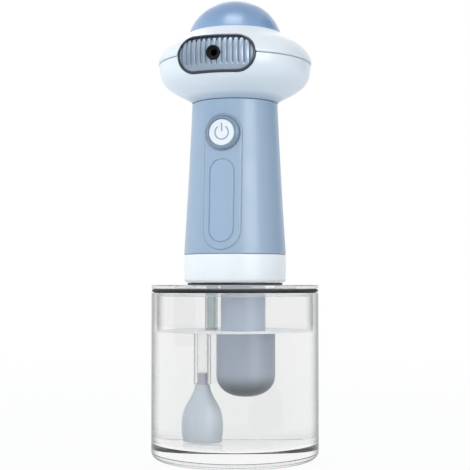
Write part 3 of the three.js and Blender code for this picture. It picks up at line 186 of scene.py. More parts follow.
def prism(name, half, corner, near, far, centreHeight):
    # an outline pushed straight along y
    whole = min(half)
    rows = [(whole, near), (0, near), (0, far), (whole, far)]
    rings = np.stack([outlineRing(*half, corner, inset) for inset, _ in rows])
    y = np.array([depth for _, depth in rows], float)[:, None] + 0 * rings[..., 0]
    grid = toPoints(rings[..., 0], y, rings[..., 1] + centreHeight)
    return makeMesh(name, grid, gridFaces(*y.shape, False, True))


def lugBlock(inner, outer, bottom, top, spread, middle, edge=0.25):
    # a short curved bar about the upright axis, its spread and middle in degrees
    section = filletPath([(inner, bottom), (outer, bottom, edge), (outer, top, edge), (inner, top)], 3)
    angle = np.radians(middle + np.linspace(-spread / 2, spread / 2, 17))[None, :]
    radius, height = section[:, :1], section[:, 1:] + 0 * angle
    return sweepSolid("lug", toPoints(radius * np.cos(angle), radius * np.sin(angle), height))


def carve(piece, tool, operation="DIFFERENCE"):
    # cuts with another closed piece, or joins it, and the other is used up
    change = piece.modifiers.new("carve", "BOOLEAN")
    change.object, change.operation, change.solver = tool, operation, "EXACT"
    shaped = bpy.data.meshes.new_from_object(piece.evaluated_get(bpy.context.evaluated_depsgraph_get()))
    piece.modifiers.clear()
    used = piece.data
    piece.data = shaped
    shaped.name = piece.name
    bpy.data.meshes.remove(used)
    bpy.data.meshes.remove(tool.data)


def joinTo(piece, other):
    # puts another piece's faces into this one, where the two don't touch
    both = bmesh.new()
    both.from_mesh(piece.data)
    both.from_mesh(other.data)
    both.to_mesh(piece.data)
    both.free()
    bpy.data.meshes.remove(other.data)


# materials: every pattern reads Object coordinates, and its size is given in mm

def linear(code):
    # sRGB hex to linear colour
    srgb = np.array([int(code[i:i + 2], 16) for i in (0, 2, 4)]) / 255
    return (*np.where(srgb <= 0.04045, srgb / 12.92, ((srgb + 0.055) / 1.055) ** 2.4), 1.0)


def addNode(tree, kind, sockets=None, **settings):
    # kind is the type without its ShaderNode. A socket is given a number, a colour, another node's output, or a node
    # for its first output in use.
    node = tree.nodes.new("ShaderNode" + kind)
    for key, value in settings.items():
        setattr(node, key, value)
    for key, value in (sockets or {}).items():
        if isinstance(value, bpy.types.Node):
            value = next(output for output in value.outputs if output.enabled)
        if isinstance(value, bpy.types.NodeSocket):
            tree.links.new(value, node.inputs[key])
        else:
            node.inputs[key].default_value = value
    return node


def makeMaterial(name, maker, look):
    # the maker fills the tree from Object coordinates and a look, and returns the surface and any volume
    material = bpy.data.materials.new(name)
    material.use_nodes = True
    tree = material.node_tree
    tree.nodes.clear()
    place = addNode(tree, "TexCoord").outputs["Object"]
    addNode(tree, "OutputMaterial", maker(tree, place, look))
    return material


def repeats(size):
    # the scale of a texture whose pattern measures this many mm
    return 1000 / size


def driftColour(tree, place, look, size, detail=2.0):
    # one colour drifts into the other in soft clouds of this size
    clouds = addNode(tree, "TexNoise", {"Vector": place, "Scale": repeats(size), "Detail": detail})
    ends = {"A": linear(look["colour"]), "B": linear(look["drift"])}
    return addNode(tree, "Mix", {"Factor": clouds, **ends}, data_type="RGBA")


def blendColours(tree, value, start, end, first, second, course="SMOOTHSTEP"):
    # the first colour turns into the second as the value goes from start to end
    share = addNode(tree, "MapRange", {"Value": value, "From Min": start, "From Max": end}, interpolation_type=course)
    return addNode(tree, "Mix", {"Factor": share, "A": first, "B": second}, data_type="RGBA")


def unevenGloss(tree, place, size, start, end, low, high):
    # roughness wanders between low and high in patches of this size, as the noise goes from start to end
    patches = addNode(tree, "TexNoise", {"Vector": place, "Scale": repeats(size), "Detail": 4.0})
    return addNode(tree, "MapRange", {
        "Value": patches, "From Min": start, "From Max": end, "To Min": low, "To Max": high})


def fineRelief(tree, place, look, size, detail, deep):
    # bumps of this size, as high as a share of it
    bumps = addNode(tree, "TexNoise", {"Vector": place, "Scale": repeats(size), "Detail": detail})
    return addNode(tree, "Bump", {"Height": bumps, "Strength": look["relief"], "Distance": size * deep * mm})


def mouldedPlastic(tree, place, look):
    # injection-moulded plastic: a faint drift of colour from the melt's flow, a spark-eroded or polished skin,
    # and a gloss that varies a little where hands have rubbed it. Some looks add painted shade towards the low end
    colour = driftColour(tree, place, look, look["flow"])
    if "foot" in look:  # painted shade: the colour darkens to the foot colour from footTop down to footEnd
        height = addNode(tree, "SeparateXYZ", {"Vector": place}).outputs["Z"]
        colour = blendColours(tree, height, look["footTop"] * mm, look["footEnd"] * mm, colour, linear(look["foot"]))
    rough = look["roughness"]
    skin = addNode(tree, "BsdfPrincipled", {
        "Base Color": colour,
        "Roughness": unevenGloss(tree, place, look["flow"] * 0.35, 0.3, 0.7, rough * 0.88, rough * 1.12),
        "Normal": fineRelief(tree, place, look, look["grain"], 3.0, 0.12),
        "Metallic": look.get("metallic", 0.0),
        "IOR": look.get("ior", 1.5),
        "Coat Weight": look.get("coat", 0.0),
        "Coat Roughness": 0.08,
    })
    return {"Surface": skin}


def softRubber(tree, place, look):
    # moulded silicone: matt, slightly dusty where it curves away, with a fine pored skin
    skin = addNode(tree, "BsdfPrincipled", {
        "Base Color": driftColour(tree, place, look, look["flow"]),
        "Roughness": look["roughness"],
        "Normal": fineRelief(tree, place, look, look["grain"], 4.0, 0.1),
        "Subsurface Weight": look.get("depth", 0.0),
        "Subsurface Radius": (0.7, 0.85, 1.0),
        "Subsurface Scale": 1.2 * mm,
        "Transmission Weight": look.get("clear", 0.0),
        "Sheen Weight": look.get("sheen", 0.15),
        "Sheen Roughness": 0.5,
    })
    return {"Surface": skin}


def clearMoulding(tree, place, look):
    # clear plastic or liquid: light passes, tinted by the thickness it crosses, and the surface is barely uneven
    passing = linear(look["colour"])
    if "airTint" in look:  # the bore turns greyer above airTintFrom, where it stands in air
        height = addNode(tree, "SeparateXYZ", {"Vector": place}).outputs["Z"]
        start, end = (look["airTintFrom"] - 1.0) * mm, (look["airTintFrom"] + 1.0) * mm
        passing = blendColours(tree, height, start, end, passing, linear(look["airTint"]), "LINEAR")
    if "edge" in look:  # painted shade: darker where a wall or a foot is seen edge on from outside, but not on faces that look up
        facing = addNode(tree, "LayerWeight", {"Blend": 0.5}).outputs["Facing"]
        surface = addNode(tree, "NewGeometry").outputs
        upward = addNode(tree, "SeparateXYZ", {"Vector": surface["Normal"]}).outputs["Z"]
        spared = addNode(tree, "Math", {0: surface["Backfacing"], 1: upward}, operation="MAXIMUM")
        turned = addNode(tree, "Math", {0: facing, 1: spared}, operation="SUBTRACT")
        passing = blendColours(tree, turned, look["edgeShadeFrom"], look["edgeShadeTo"], passing, linear(look["edge"]))
    rough = look["roughness"]
    skin = addNode(tree, "BsdfPrincipled", {
        "Base Color": passing,
        "Roughness": unevenGloss(tree, place, look["wave"] * 0.3, 0.45, 0.75, rough, rough + 0.03),
        "Normal": fineRelief(tree, place, look, look["wave"], 1.0, 0.02),
        "Transmission Weight": look.get("clear", 1.0),
        "IOR": look["ior"],
    })
    body = addNode(tree, "VolumeAbsorption", {"Color": linear(look["tint"]), "Density": look["density"]})
    return {"Surface": skin, "Volume": body}


def domePaintedGlow(tree, place, look):
    # translucent blue plastic with a painted glow: paler low down, as if lit from inside its foot
    height = addNode(tree, "SeparateXYZ", {"Vector": place}).outputs["Z"]
    cloud = addNode(tree, "TexNoise", {"Vector": place, "Scale": repeats(look["flow"]), "Detail": 2.0})
    uneven = addNode(tree, "Math", {
        0: cloud, 1: look["uneven"] * mm, 2: height}, operation="MULTIPLY_ADD")
    skin = addNode(tree, "BsdfPrincipled", {
        "Base Color": blendColours(tree, uneven, look["glowBelow"] * mm, look["blueAbove"] * mm,
                                   linear(look["glowColour"]), linear(look["colour"])),
        "Roughness": look["roughness"],
        "IOR": 1.5,
        "Coat Weight": 0.9,
        "Coat Roughness": 0.34,
        "Subsurface Weight": 0.3,
        "Subsurface Radius": (0.6, 0.8, 1.0),
        "Subsurface Scale": 1.8 * mm,
    })
    return {"Surface": skin}


def brushedMetal(tree, place, look):
    # turned or drawn metal: fine lines along one axis that catch the light, and a little tarnish
    drawn = addNode(tree, "Mapping", {"Vector": place, "Scale": look["lines"]})
    lines = addNode(tree, "TexNoise", {"Vector": drawn, "Scale": repeats(1), "Detail": 3.0})
    gloss = addNode(tree, "MapRange", {
        "Value": lines, "To Min": look["roughness"] * 0.7, "To Max": look["roughness"] * 1.3})
    relief = addNode(tree, "Bump", {"Height": lines, "Strength": 0.25, "Distance": 0.02 * mm})
    skin = addNode(tree, "BsdfPrincipled", {
        "Base Color": driftColour(tree, place, look, 4, 5.0),
        "Roughness": gloss,
        "Normal": relief,
        "Metallic": 1.0,
    })
    return {"Surface": skin}


def printedBoard(tree, place, look):
    # glass-fibre board: woven cloth under green resin, with copper tracks that show as paler lines
    tracks = addNode(tree, "TexBrick", {
        "Vector": addNode(tree, "Mapping", {"Vector": place, "Rotation": (tau / 4, 0, 0)}),
        "Color1": linear(look["colour"]),
        "Color2": linear(look["drift"]),
        "Mortar": linear(look["tracks"]),
        "Scale": repeats(6),
        "Mortar Size": 0.035,
    })
    weave = addNode(tree, "TexWave", {"Vector": place, "Scale": repeats(0.8), "Distortion": 0.4})
    relief = addNode(tree, "Bump", {"Height": weave.outputs["Fac"], "Strength": 0.2, "Distance": 0.03 * mm})
    skin = addNode(tree, "BsdfPrincipled", {
        "Base Color": tracks,
        "Normal": relief,
        "Roughness": 0.35,
        "Coat Weight": 0.4,
    })
    return {"Surface": skin}


# finishes by the record's slot, or by a name of their own. Plastics and rubbers: the real material, its colour, the
# colour it drifts to, the drift's size, roughness, the skin's grain and its relief, and what only some have.
finishes = {}
basics = ("colour", "drift", "flow", "roughness", "grain", "relief")
plastics = {
    # the head's foot colour is painted shade with a painted reflection of the blue handle, where the bowl meets it
    "head_white": ("white_abs_polished", "EAF1F5", "E6EEF3", 45, 0.34, 0.6, 0.04,
                   {"coat": 0.08, "foot": "9FB2C4", "footTop": 194.5, "footEnd": 190.5}),
    "collar_white": ("white_pp_moulded", "F6FBFD", "F2F9FC", 25, 0.34, 0.5, 0.03),
    "handle_blue": ("blue_abs_satin", "9FB5CA", "9CB2C8", 40, 0.32, 0.25, 0.16),
    "panel_blue": ("blue_abs_fine_satin", "A0B6CB", "9DB3C9", 30, 0.36, 0.2, 0.12),
    "bezel_silver": ("silver_blue_painted_abs", "8496AA", "7D90A5", 8, 0.3, 0.12, 0.06, {"metallic": 0.35}),
    "button_white": ("white_abs_button", "EDF2F5", "E9EFF3", 10, 0.26, 0.3, 0.05),
    "symbolGrey": ("grey_filled_engraving", "9AA6B4", "919DAC", 3, 0.5, 0.1, 0.1),
    "frame_slate": ("slate_abs_gloss", "2F3A45", "2B3641", 12, 0.3, 0.3, 0.05),
    "grille_silver": ("silver_plated_grille", "9FAEBE", "98A7B8", 14, 0.36, 0.3, 0.04, {"metallic": 0.4}),
    "nozzle_black": ("black_pom_turned", "14171D", "1A1D24", 3, 0.6, 0.2, 0.08, {"ior": 1.25}),
    # the well's foot colour is painted shade, darker towards its round bottom
    "well_grey": ("grey_blue_abs_moulded", "B0BCCB", "AAB7C7", 22, 0.38, 0.4, 0.04,
                  {"coat": 0.1, "foot": "36414E", "footTop": 47, "footEnd": 36}),
    "inner_cream": ("cream_nylon_moulded", "E4DFD2", "DCD6C7", 12, 0.5, 0.4, 0.2),
    "cell_metal": ("green_pvc_sleeve_on_cell", "4F8A6A", "478061", 20, 0.3, 0.8, 0.1, {"coat": 0.3}),
}
rubbers = {
    "waterlineFilm": ("white_film_on_water", "FFFFFF", "FBFCFD", 8, 0.7, 1.2, 0.3, {"clear": 0.12, "sheen": 0.8}),
    "grip_blue": ("blue_silicone_grip", "A0B6CD", "9DB3CB", 18, 0.5, 0.3, 0.15),
    "spigot_lilac": ("lilac_silicone_spigot", "D5D0E3", "CFC9DF", 4, 0.4, 0.2, 0.1, {"depth": 0.2}),
    "bulb_lilac": ("pale_blue_silicone_bulb", "E4EDF6", "DCE8F3", 9, 0.36, 0.35, 0.1, {"depth": 0.4}),
    "gasket_rubber": ("charcoal_silicone_seal", "14171B", "1A1E23", 6, 0.6, 0.3, 0.2, {"sheen": 0.0}),
}
for maker, rows in ((mouldedPlastic, plastics), (softRubber, rubbers)):
    for key, (name, *values) in rows.items():
        more = values.pop() if len(values) > len(basics) else {}
        finishes[key] = makeMaterial(name, maker, {**dict(zip(basics, values)), **more})

acrylic = {"colour": "FFFFFF", "roughness": 0.0, "wave": 30, "relief": 0.08, "ior": 1.49, "tint": "DADDDE",
           "density": 1.5}
# the edge colours of jar and lid are painted shade where their walls are seen edge on
finishes["clear_jar"] = makeMaterial("clear_acrylic_moulded", clearMoulding, {
    **acrylic, "edge": "33393F", "edgeShadeFrom": 0.52, "edgeShadeTo": 0.82})
finishes["lidAcrylic"] = makeMaterial("clear_acrylic_lid_moulded", clearMoulding, {
    **acrylic, "edge": "C9CDD1", "edgeShadeFrom": 0.62, "edgeShadeTo": 0.84, "clear": 0.85})
# the tube's edge colour is painted shade where its wall is seen edge on
finishes["tube_clear"] = finishes["hose_clear"] = makeMaterial("clear_vinyl_extruded", clearMoulding, {
    "colour": "FFFFFF", "edge": "3D454A", "edgeShadeFrom": 0.3, "edgeShadeTo": 0.75, "airTint": "D2DBDB", "airTintFrom": 68.0,
    "roughness": 0.05, "wave": 8, "relief": 0.2, "ior": 1.36, "tint": "D8DEDC", "density": 6.0})
finishes["shampooWater"] = makeMaterial("shampoo_and_water", clearMoulding, {
    "colour": "FFFFFF", "roughness": 0.0, "wave": 40, "relief": 0.05, "ior": 1.33, "tint": "DCDEDD", "density": 7.0})
# the dome's paler colour low down is a painted glow
finishes["dome_blue"] = makeMaterial("blue_translucent_dome", domePaintedGlow, {
    "colour": "658AB6", "glowColour": "7FA3CB", "glowBelow": 228, "blueAbove": 240, "flow": 20, "uneven": 3,
    "roughness": 0.3})
finishes["screw_steel"] = makeMaterial("zinc_plated_steel", brushedMetal, {
    "colour": "B9BDC2", "drift": "A4A9AF", "roughness": 0.28, "lines": (8.0, 8.0, 0.5)})
finishes["motor_metal"] = makeMaterial("drawn_nickel_steel_can", brushedMetal, {
    "colour": "AEB2B6", "drift": "9A9FA4", "roughness": 0.34, "lines": (0.5, 0.5, 6.0)})
finishes["board_green"] = makeMaterial("green_glass_fibre_board", printedBoard, {
    "colour": "2F6B4A", "drift": "2B6445", "tracks": "6E9A66"})


def fit(piece, body, slot, nodes=(), finish=None, sharp=35):
    # smooth faces with crisp edges, a finish, and the body that carries the piece
    piece.data.materials.clear()
    piece.data.materials.append(finishes[finish or slot])
    piece.data.shade_smooth()
    piece.data.set_sharp_from_angle(angle=math.radians(sharp))
    even = piece.modifiers.new("evenShading", "WEIGHTED_NORMAL")
    even.keep_sharp = True
    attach(piece, body)
    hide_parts(*nodes)


def addLugs(piece, sizes, turned):
    # four lugs round a ring, the first at this many degrees
    for side in range(4):
        carve(piece, lugBlock(**sizes, middle=turned + side * 90), "UNION")


# the jar and its shampoo

jar = {
    "radius": 45, "wall": 2.8, "footRound": 4.5, "floor": 8.5, "floorRound": 5,
    "cupTop": 88.5, "shoulderFoot": 90.5, "top": 92.6, "rim": 0.6,
    "spigotFoot": 86.6, "spigotBore": 39.9, "spigotRadius": 41.9, "spigotRound": 0.3,
    "neckRadius": 24.2, "neckBore": 22.2, "neckTop": 104, "neckFillet": 0.5, "neckRound": 0.4,
    "water": 68.0,
    "lugs": {"inner": 23.6, "outer": 25.4, "bottom": 99, "top": 101, "spread": 35.1},
}
jarBore = jar["radius"] - jar["wall"]
cup = revolve("jarCupTurned", filletPath([
    (0, 0),
    (jar["radius"], 0, jar["footRound"]),
    (jar["radius"], jar["cupTop"], 0.3),
    (jarBore, jar["cupTop"], 0.4),
    (jarBore, jar["floor"], jar["floorRound"]),
    (0, jar["floor"]),
], 10), 160, closed=False)
fit(cup, "bottle", "clear_jar", ["jar_cup"])

shoulder = revolve("jarShoulderTurned", filletPath([
    (jar["radius"], jar["shoulderFoot"], 0.25),
    (jar["radius"], jar["top"], jar["rim"]),
    (jar["neckRadius"], jar["top"], jar["neckFillet"]),
    (jar["neckRadius"], jar["neckTop"], jar["neckRound"]),
    (jar["neckBore"], jar["neckTop"], jar["neckRound"]),
    (jar["neckBore"], jar["shoulderFoot"], jar["neckRound"]),
    (jar["spigotBore"], jar["shoulderFoot"]),
    (jar["spigotBore"], jar["spigotFoot"], jar["spigotRound"]),
    (jar["spigotRadius"], jar["spigotFoot"], jar["spigotRound"]),
    (jar["spigotRadius"], jar["shoulderFoot"]),
]), 160)
addLugs(shoulder, jar["lugs"], 0)
fit(shoulder, "bottle", "clear_jar", ["jar_shoulder"], "lidAcrylic")

# the liquid reaches a little way into the wall, so that no film of air shows between them
soak = 0.1
water = revolve("shampooWaterBody", filletPath([
    (0, jar["floor"] - soak),
    (jarBore + soak, jar["floor"] - soak, jar["floorRound"]),
    (jarBore + soak, jar["water"]),
    (0, jar["water"]),
], 10), 160, closed=False)
fit(water, "bottle", "clear_jar", finish="shampooWater")
# a white film lies on the liquid's open face: the faces near the waterline that look up
water.data.materials.append(finishes["waterlineFilm"])
polygons = water.data.polygons
normals, centres = np.empty(len(polygons) * 3), np.empty(len(polygons) * 3)
polygons.foreach_get("normal", normals)
polygons.foreach_get("center", centres)
film = (normals[2::3] > 0.3) & (centres[2::3] > (jar["water"] - 0.5) * mm)
polygons.foreach_set("material_index", film.astype(int))

# the dark seal pressed between cup and shoulder: flat inside, and half an ellipse at its outer edge
sealRing = {"inner": 42.2, "flat": 42.6, "outer": 44.8}
middle, half = (jar["cupTop"] + jar["shoulderFoot"]) / 2, (jar["shoulderFoot"] - jar["cupTop"]) / 2
bulge = np.linspace(-tau / 4, tau / 4, 15)
reach = sealRing["flat"] + (sealRing["outer"] - sealRing["flat"]) * np.cos(bulge)
seal = revolve("jarSealRing", np.vstack([
    [(sealRing["inner"], middle - half)],
    toPoints(reach, middle + half * np.sin(bulge)),
    [(sealRing["inner"], middle + half)],
]), 160)
fit(seal, "bottle", "gasket_rubber")

baseSeal = {"inner": 24.5, "outer": 25.6, "foot": 92.6, "top": 93.6, "rounds": (0.2, 0.2, 0.4, 0.4)}
fit(revolve("baseGasketRing", ringPath(**baseSeal), 128), "bottle", "gasket_rubber", ["base_gasket"])
neckSeal = {"inner": 22.4, "outer": 24.0, "foot": 104, "top": 105.2, "rounds": (0.2, 0.2, 0.2, 0.2)}
fit(revolve("neckGasketRing", ringPath(**neckSeal), 128), "pump_unit", "gasket_rubber", ["neck_gasket"])

# the closure

collar = {
    "radius": 27.4, "foot": 93.9, "top": 108.75, "footRound": 1.8, "bore": 25.7, "lipBore": 22.6, "lipFoot": 107.0,
    "lugs": {"inner": 26.3, "outer": 24.55, "bottom": 96.7, "top": 98.7, "spread": 35.1},
}
collarRing = revolve("collarTurned", filletPath([
    (collar["radius"], collar["foot"], collar["footRound"]),
    (collar["radius"], collar["top"], 0.6),
    (collar["lipBore"], collar["top"], 0.3),
    (collar["lipBore"], collar["lipFoot"], 0.2),
    (collar["bore"], collar["lipFoot"], 0.3),
    (collar["bore"], collar["foot"], 0.5),
]), 144)
addLugs(collarRing, collar["lugs"], 45)
fit(collarRing, "collar", "collar_white", ["collar"])

wellX, pickupX = 4.6, -13.4  # well and pickup hang side by side under the flange
flange = {
    "radius": 24.4, "foot": 105.2, "top": 106.7, "hub": 22.3, "hubTop": 108.9, "wellHole": 12.3, "pickupHole": 3.7,
    "grooveBore": 11, "grooveRadius": 13.9, "grooveFoot": 105.45, "grooveTop": 107.35,
    "screwCircle": 19.2, "screwDegrees": (80, 148, 212, 280), "sink": 2.1, "shank": 1.3,
}
flangePlate = revolve("closureFlangeTurned", filletPath([
    (0, flange["foot"]),
    (flange["radius"], flange["foot"], 0.3),
    (flange["radius"], flange["top"], 0.3),
    (flange["hub"], flange["top"], 0.2),
    (flange["hub"], flange["hubTop"], 0.2),
    (0, flange["hubTop"]),
], 4), 128, closed=False)
for x, radius in ((wellX, flange["wellHole"]), (pickupX, flange["pickupHole"])):
    carve(flangePlate, rod(radius, 100, 112, centre=(x, 0)))
carve(flangePlate, revolve("groove", [
    (flange["grooveBore"], flange["grooveFoot"]),
    (flange["grooveRadius"], flange["grooveFoot"]),
    (flange["grooveRadius"], flange["grooveTop"]),
    (flange["grooveBore"], flange["grooveTop"]),
], 64, (wellX, 0)))
sink, shank, ledge = flange["sink"], flange["shank"], flange["top"]
for degrees in flange["screwDegrees"]:
    turn = math.radians(degrees)
    spot = (flange["screwCircle"] * math.cos(turn), flange["screwCircle"] * math.sin(turn))
    profile = [(0, 104), (sink, 104), (sink, ledge), (shank, ledge), (shank, 110), (0, 110)]
    carve(flangePlate, revolve("sink", profile, 32, spot, False))
fit(flangePlate, "pump_unit", "well_grey", ["closure_flange"])

well = {"radius": 12, "bore": 10.2, "footCentre": 45.8, "foot": 12, "fullness": 2.3, "seam": 100, "top": 111.9,
        "rimRadius": 13.6, "rimTop": 113.4}


def wellFoot(radius, depth):
    # fuller than a ball: radius times sin(t), and depth times cos(t) down, each to the power 2 / fullness
    turn = np.linspace(0, tau / 4, 22)
    power = 2 / well["fullness"]
    return toPoints(radius * np.sin(turn) ** power, well["footCentre"] - depth * np.cos(turn) ** power)


wellOuter, wellInner = wellFoot(well["radius"], well["foot"]), wellFoot(well["bore"], well["bore"])
wellRim = filletPath([
    (well["radius"], well["seam"]),
    (well["radius"], well["top"], 0.4),
    (well["rimRadius"], well["top"], 0.2),
    (well["rimRadius"], well["rimTop"], 0.4),
    (well["bore"], well["rimTop"], 0.3),
    (well["bore"], well["seam"]),
])
wellTube = revolve("batteryWellTurned", np.vstack([wellOuter, wellRim, wellInner[::-1]]), 96, (wellX, 0), False)
fit(wellTube, "pump_unit", "well_grey", ["battery_well"])
print("jar, shampoo and closure made")

# the pickup

tubeSizes = {"inner": 2.2, "outer": 3.4, "foot": 40.0, "top": 110.1, "rounds": (0.3, 0.3, 0.3, 0.3)}
tube = revolve("pickupTubeExtruded", ringPath(**tubeSizes), 48, (pickupX, 0))
fit(tube, "pump_unit", "tube_clear", ["pickup_tube"])
spigotSizes = {"inner": 1.1, "outer": 1.9, "foot": 37, "top": 46, "rounds": (0.2, 0.3, 0.4, 0.2)}
fit(revolve("pickupSpigotMoulded", ringPath(**spigotSizes), 40, (pickupX, 0)),
    "pump_unit", "spigot_lilac", ["pickup_spigot"])

bulb = {"radius": 8.2, "foot": 9.5, "top": 39.7, "wall": 1.3, "neckBore": 2.2, "mouth": 5.9, "mouthTop": 11.2}
bulbShares = [(0.93, 0.02), (0.985, 0.16), (1, 0.3), (0.96, 0.45), (0.86, 0.58), (0.72, 0.68), (0.53, 0.8),
              (0.41, 0.9), (0.354, 1)]
bulbOutline = smoothPath([
    (bulb["radius"] * r, bulb["foot"] + (bulb["top"] - bulb["foot"]) * z) for r, z in bulbShares])
bulbInside = offsetPath(bulbOutline, bulb["wall"])
bulbInside = bulbInside[(bulbInside[:, 0] > 2.25) & (bulbInside[:, 1] > 11.4)]
bulbPath = np.vstack([
    [(bulb["mouth"], bulb["foot"]), (7.2, bulb["foot"]), (7.5, bulb["foot"] + 0.25)],
    bulbOutline,
    [(bulb["neckBore"], bulb["top"]), (bulb["neckBore"], bulbInside[-1, 1])],
    bulbInside[::-1],
    [(bulb["mouth"], bulb["mouthTop"])],
])
bulbBody = revolve("filterBulbMoulded", bulbPath, 72, (pickupX, 0))
fit(bulbBody, "pump_unit", "bulb_lilac", ["filter_bulb"])

inlet = {"radius": 5.6, "foot": 9.5, "top": 10.7, "edge": 0.25, "hole": 0.8, "holeCircle": 3.4, "outerHoles": 8}
screen = revolve("inletScreenMoulded", filletPath([
    (0, inlet["foot"]),
    (inlet["radius"], inlet["foot"], inlet["edge"]),
    (inlet["radius"], inlet["top"], inlet["edge"]),
    (0, inlet["top"]),
], 4), 64, (pickupX, 0), False)
for hole in range(inlet["outerHoles"] + 1):
    radius = inlet["holeCircle"] if hole < inlet["outerHoles"] else 0  # the last one is at the middle
    turn = hole * tau / inlet["outerHoles"]
    spot = (pickupX + radius * math.cos(turn), radius * math.sin(turn))
    carve(screen, rod(inlet["hole"], 9, 11.5, 20, spot))
fit(screen, "pump_unit", "spigot_lilac", ["inlet_screen"])
print("pickup made")

# the handle, its panel and its button

handle = {"foot": 108.9, "length": 81.3, "top": 190.2, "footRadius": 27.5, "taper": 4.4, "waist": 0.25, "wall": 2.4,
          "edge": 0.3}
heights = np.linspace(handle["foot"] + handle["edge"], handle["top"] - handle["edge"], 34)


def handleRadius(z):
    # a straight taper, drawn in by the waist halfway: less 4 times waist times share times (1 - share)
    share = (z - handle["foot"]) / handle["length"]
    return handle["footRadius"] - handle["taper"] * share - 4 * handle["waist"] * share * (1 - share)


def handlePath(outside, inside, heights):
    # two lines at fixed distances from the handle's curved side, with a small round on the outer corners
    e = handle["edge"]
    outer = toPoints(handleRadius(heights) + outside, heights)
    inner = toPoints(handleRadius(heights) + inside, heights)[::-1]
    foot, top = heights[0] - e, heights[-1] + e
    low = [(handleRadius(foot) + inside, foot), (handleRadius(foot) + outside - e, foot),
           (handleRadius(foot) + outside - 0.3 * e, foot + 0.3 * e)]
    high = [(handleRadius(top) + outside - 0.3 * e, top - 0.3 * e), (handleRadius(top) + outside - e, top),
            (handleRadius(top) + inside, top)]
    return np.vstack([low, outer, high, inner])


def recessCutter(sizes, grow, floor, side=-1):
    # cuts a pad's outline, grown all round, from a lid far outside the handle down to a floor
    half, far = tuple(a + grow for a in sizes["half"]), 4
    whole = min(half)
    section = [(whole, floor), (whole / 2, floor), (0, floor), (0, far), (whole / 2, far), (whole, far)]
    return pad("recess", half, sizes["corner"] + grow, section, sizes["centre"], handleRadius, side)


def mouldPad(name, sizes, back, rings=7, side=-1):
    # a pad that stands proud of the handle, with its back at this height over it
    section = padSection(min(sizes["half"]), back, sizes["proud"], sizes["edge"], rings)
    return pad(name, sizes["half"], sizes["corner"], section, sizes["centre"], handleRadius, side)


panel = {"half": (10.25, 35.7), "corner": 10.25, "centre": 146.5, "proud": 0.55, "edge": 0.8, "recess": -1.6,
         "gap": 0.06}
grip = {"half": (6.35, 21.5), "corner": 6.35, "centre": 136.5, "proud": 0.75, "edge": 0.5, "groove": 0.5,
        "floor": 0.15, "gap": 0.02}
button = {
    "height": 172.0, "radius": 7.0, "front": -26.11, "back": -23.51, "edge": 0.45, "dish": 0.5, "dishRadius": 6.4,
    "stem": 1.6, "stemEnd": -21.61, "stemHole": 3.3,
    "ring": 9.3, "ringFlat": 8.3, "ringBore": 7.12, "ringFront": -26.61, "ringSide": -25.5, "ringBack": -18,
    "ringSeat": 9.4,
}
# holes and blocks of the port: half width and height, corner, and where each starts and ends along y
port = {
    "half": (7.5, 5.5), "corner": 2.4, "centre": 147.0, "proud": 0.0, "edge": 0.25, "back": -1.0, "recess": -1.3,
    "gap": 0.2,
    "hole": ((4.75, 1.9), 1.9, 15, 30), "plug": ((3.45, 0.6), 0.6, 22.39, 24.4),
    "socket": ((4.45, 1.6), 1.6, 16.29, 23.59), "inside": ((4.05, 1.2), 1.2, 17.4, 30),
    "tongue": ((3.3, 0.35), 0.2, 17.0, 22.3),
}

shell = revolve("handleShellMoulded", handlePath(0, -handle["wall"], heights), 160)
carve(shell, recessCutter(panel, panel["gap"], panel["recess"]))
carve(shell, rod(button["stemHole"], -30, -15, 40, forwardAt=button["height"]))
carve(shell, recessCutter(port, port["gap"], port["recess"], 1))
carve(shell, prism("portHole", *port["hole"], port["centre"]))
fit(shell, "pump_unit", "handle_blue", ["handle_shell"])

# the raised panel, with a groove for the grip and a seat for the button's ring
frontPanel = mouldPad("controlPanelMoulded", panel, panel["recess"] + panel["gap"], 9)
carve(frontPanel, recessCutter(grip, grip["groove"], grip["floor"]))
carve(frontPanel, rod(button["ringSeat"], -40, -10, 96, forwardAt=button["height"]))
fit(frontPanel, "pump_unit", "panel_blue", ["control_panel"])

gripPad = mouldPad("gripInlayMoulded", grip, grip["floor"] + grip["gap"])
fit(gripPad, "pump_unit", "grip_blue", ["grip_inlay"])

ring = revolve("buttonBezelMoulded", filletPath([
    (button["ring"], button["ringBack"]),
    (button["ring"], button["ringSide"], 0.4),
    (button["ringFlat"], button["ringFront"], 0.6),
    (button["ringBore"], button["ringFront"], 0.3),
    (button["ringBore"], button["ringBack"]),
], 8), 96, forwardAt=button["height"])
ringFoot = {"outside": -1.3, "inside": -14, "heights": np.linspace(150, 189, 20)}
carve(ring, revolve("seat", handlePath(**ringFoot), 128))
fit(ring, "pump_unit", "bezel_silver", ["button_bezel"])


def dishAt(radius):
    # the cap is hollowed like a shallow bowl: depth falls with the square of the radius
    return button["front"] + button["dish"] * (1 - (radius / button["dishRadius"]) ** 2)


dishRadii = np.linspace(0, 6.3, 14)
capPath = np.vstack([
    toPoints(dishRadii, dishAt(dishRadii)),
    filletPath([
        (button["dishRadius"], button["front"]),
        (button["radius"], button["front"], button["edge"]),
        (button["radius"], button["back"], 0.2),
        (button["stem"], button["back"]),
        (button["stem"], button["stemEnd"], 0.2),
        (0, button["stemEnd"]),
    ], 6),
])
cap = revolve("buttonCapMoulded", capPath, 96, closed=False, forwardAt=button["height"])
fit(cap, "button", "button_white", ["button_cap"])

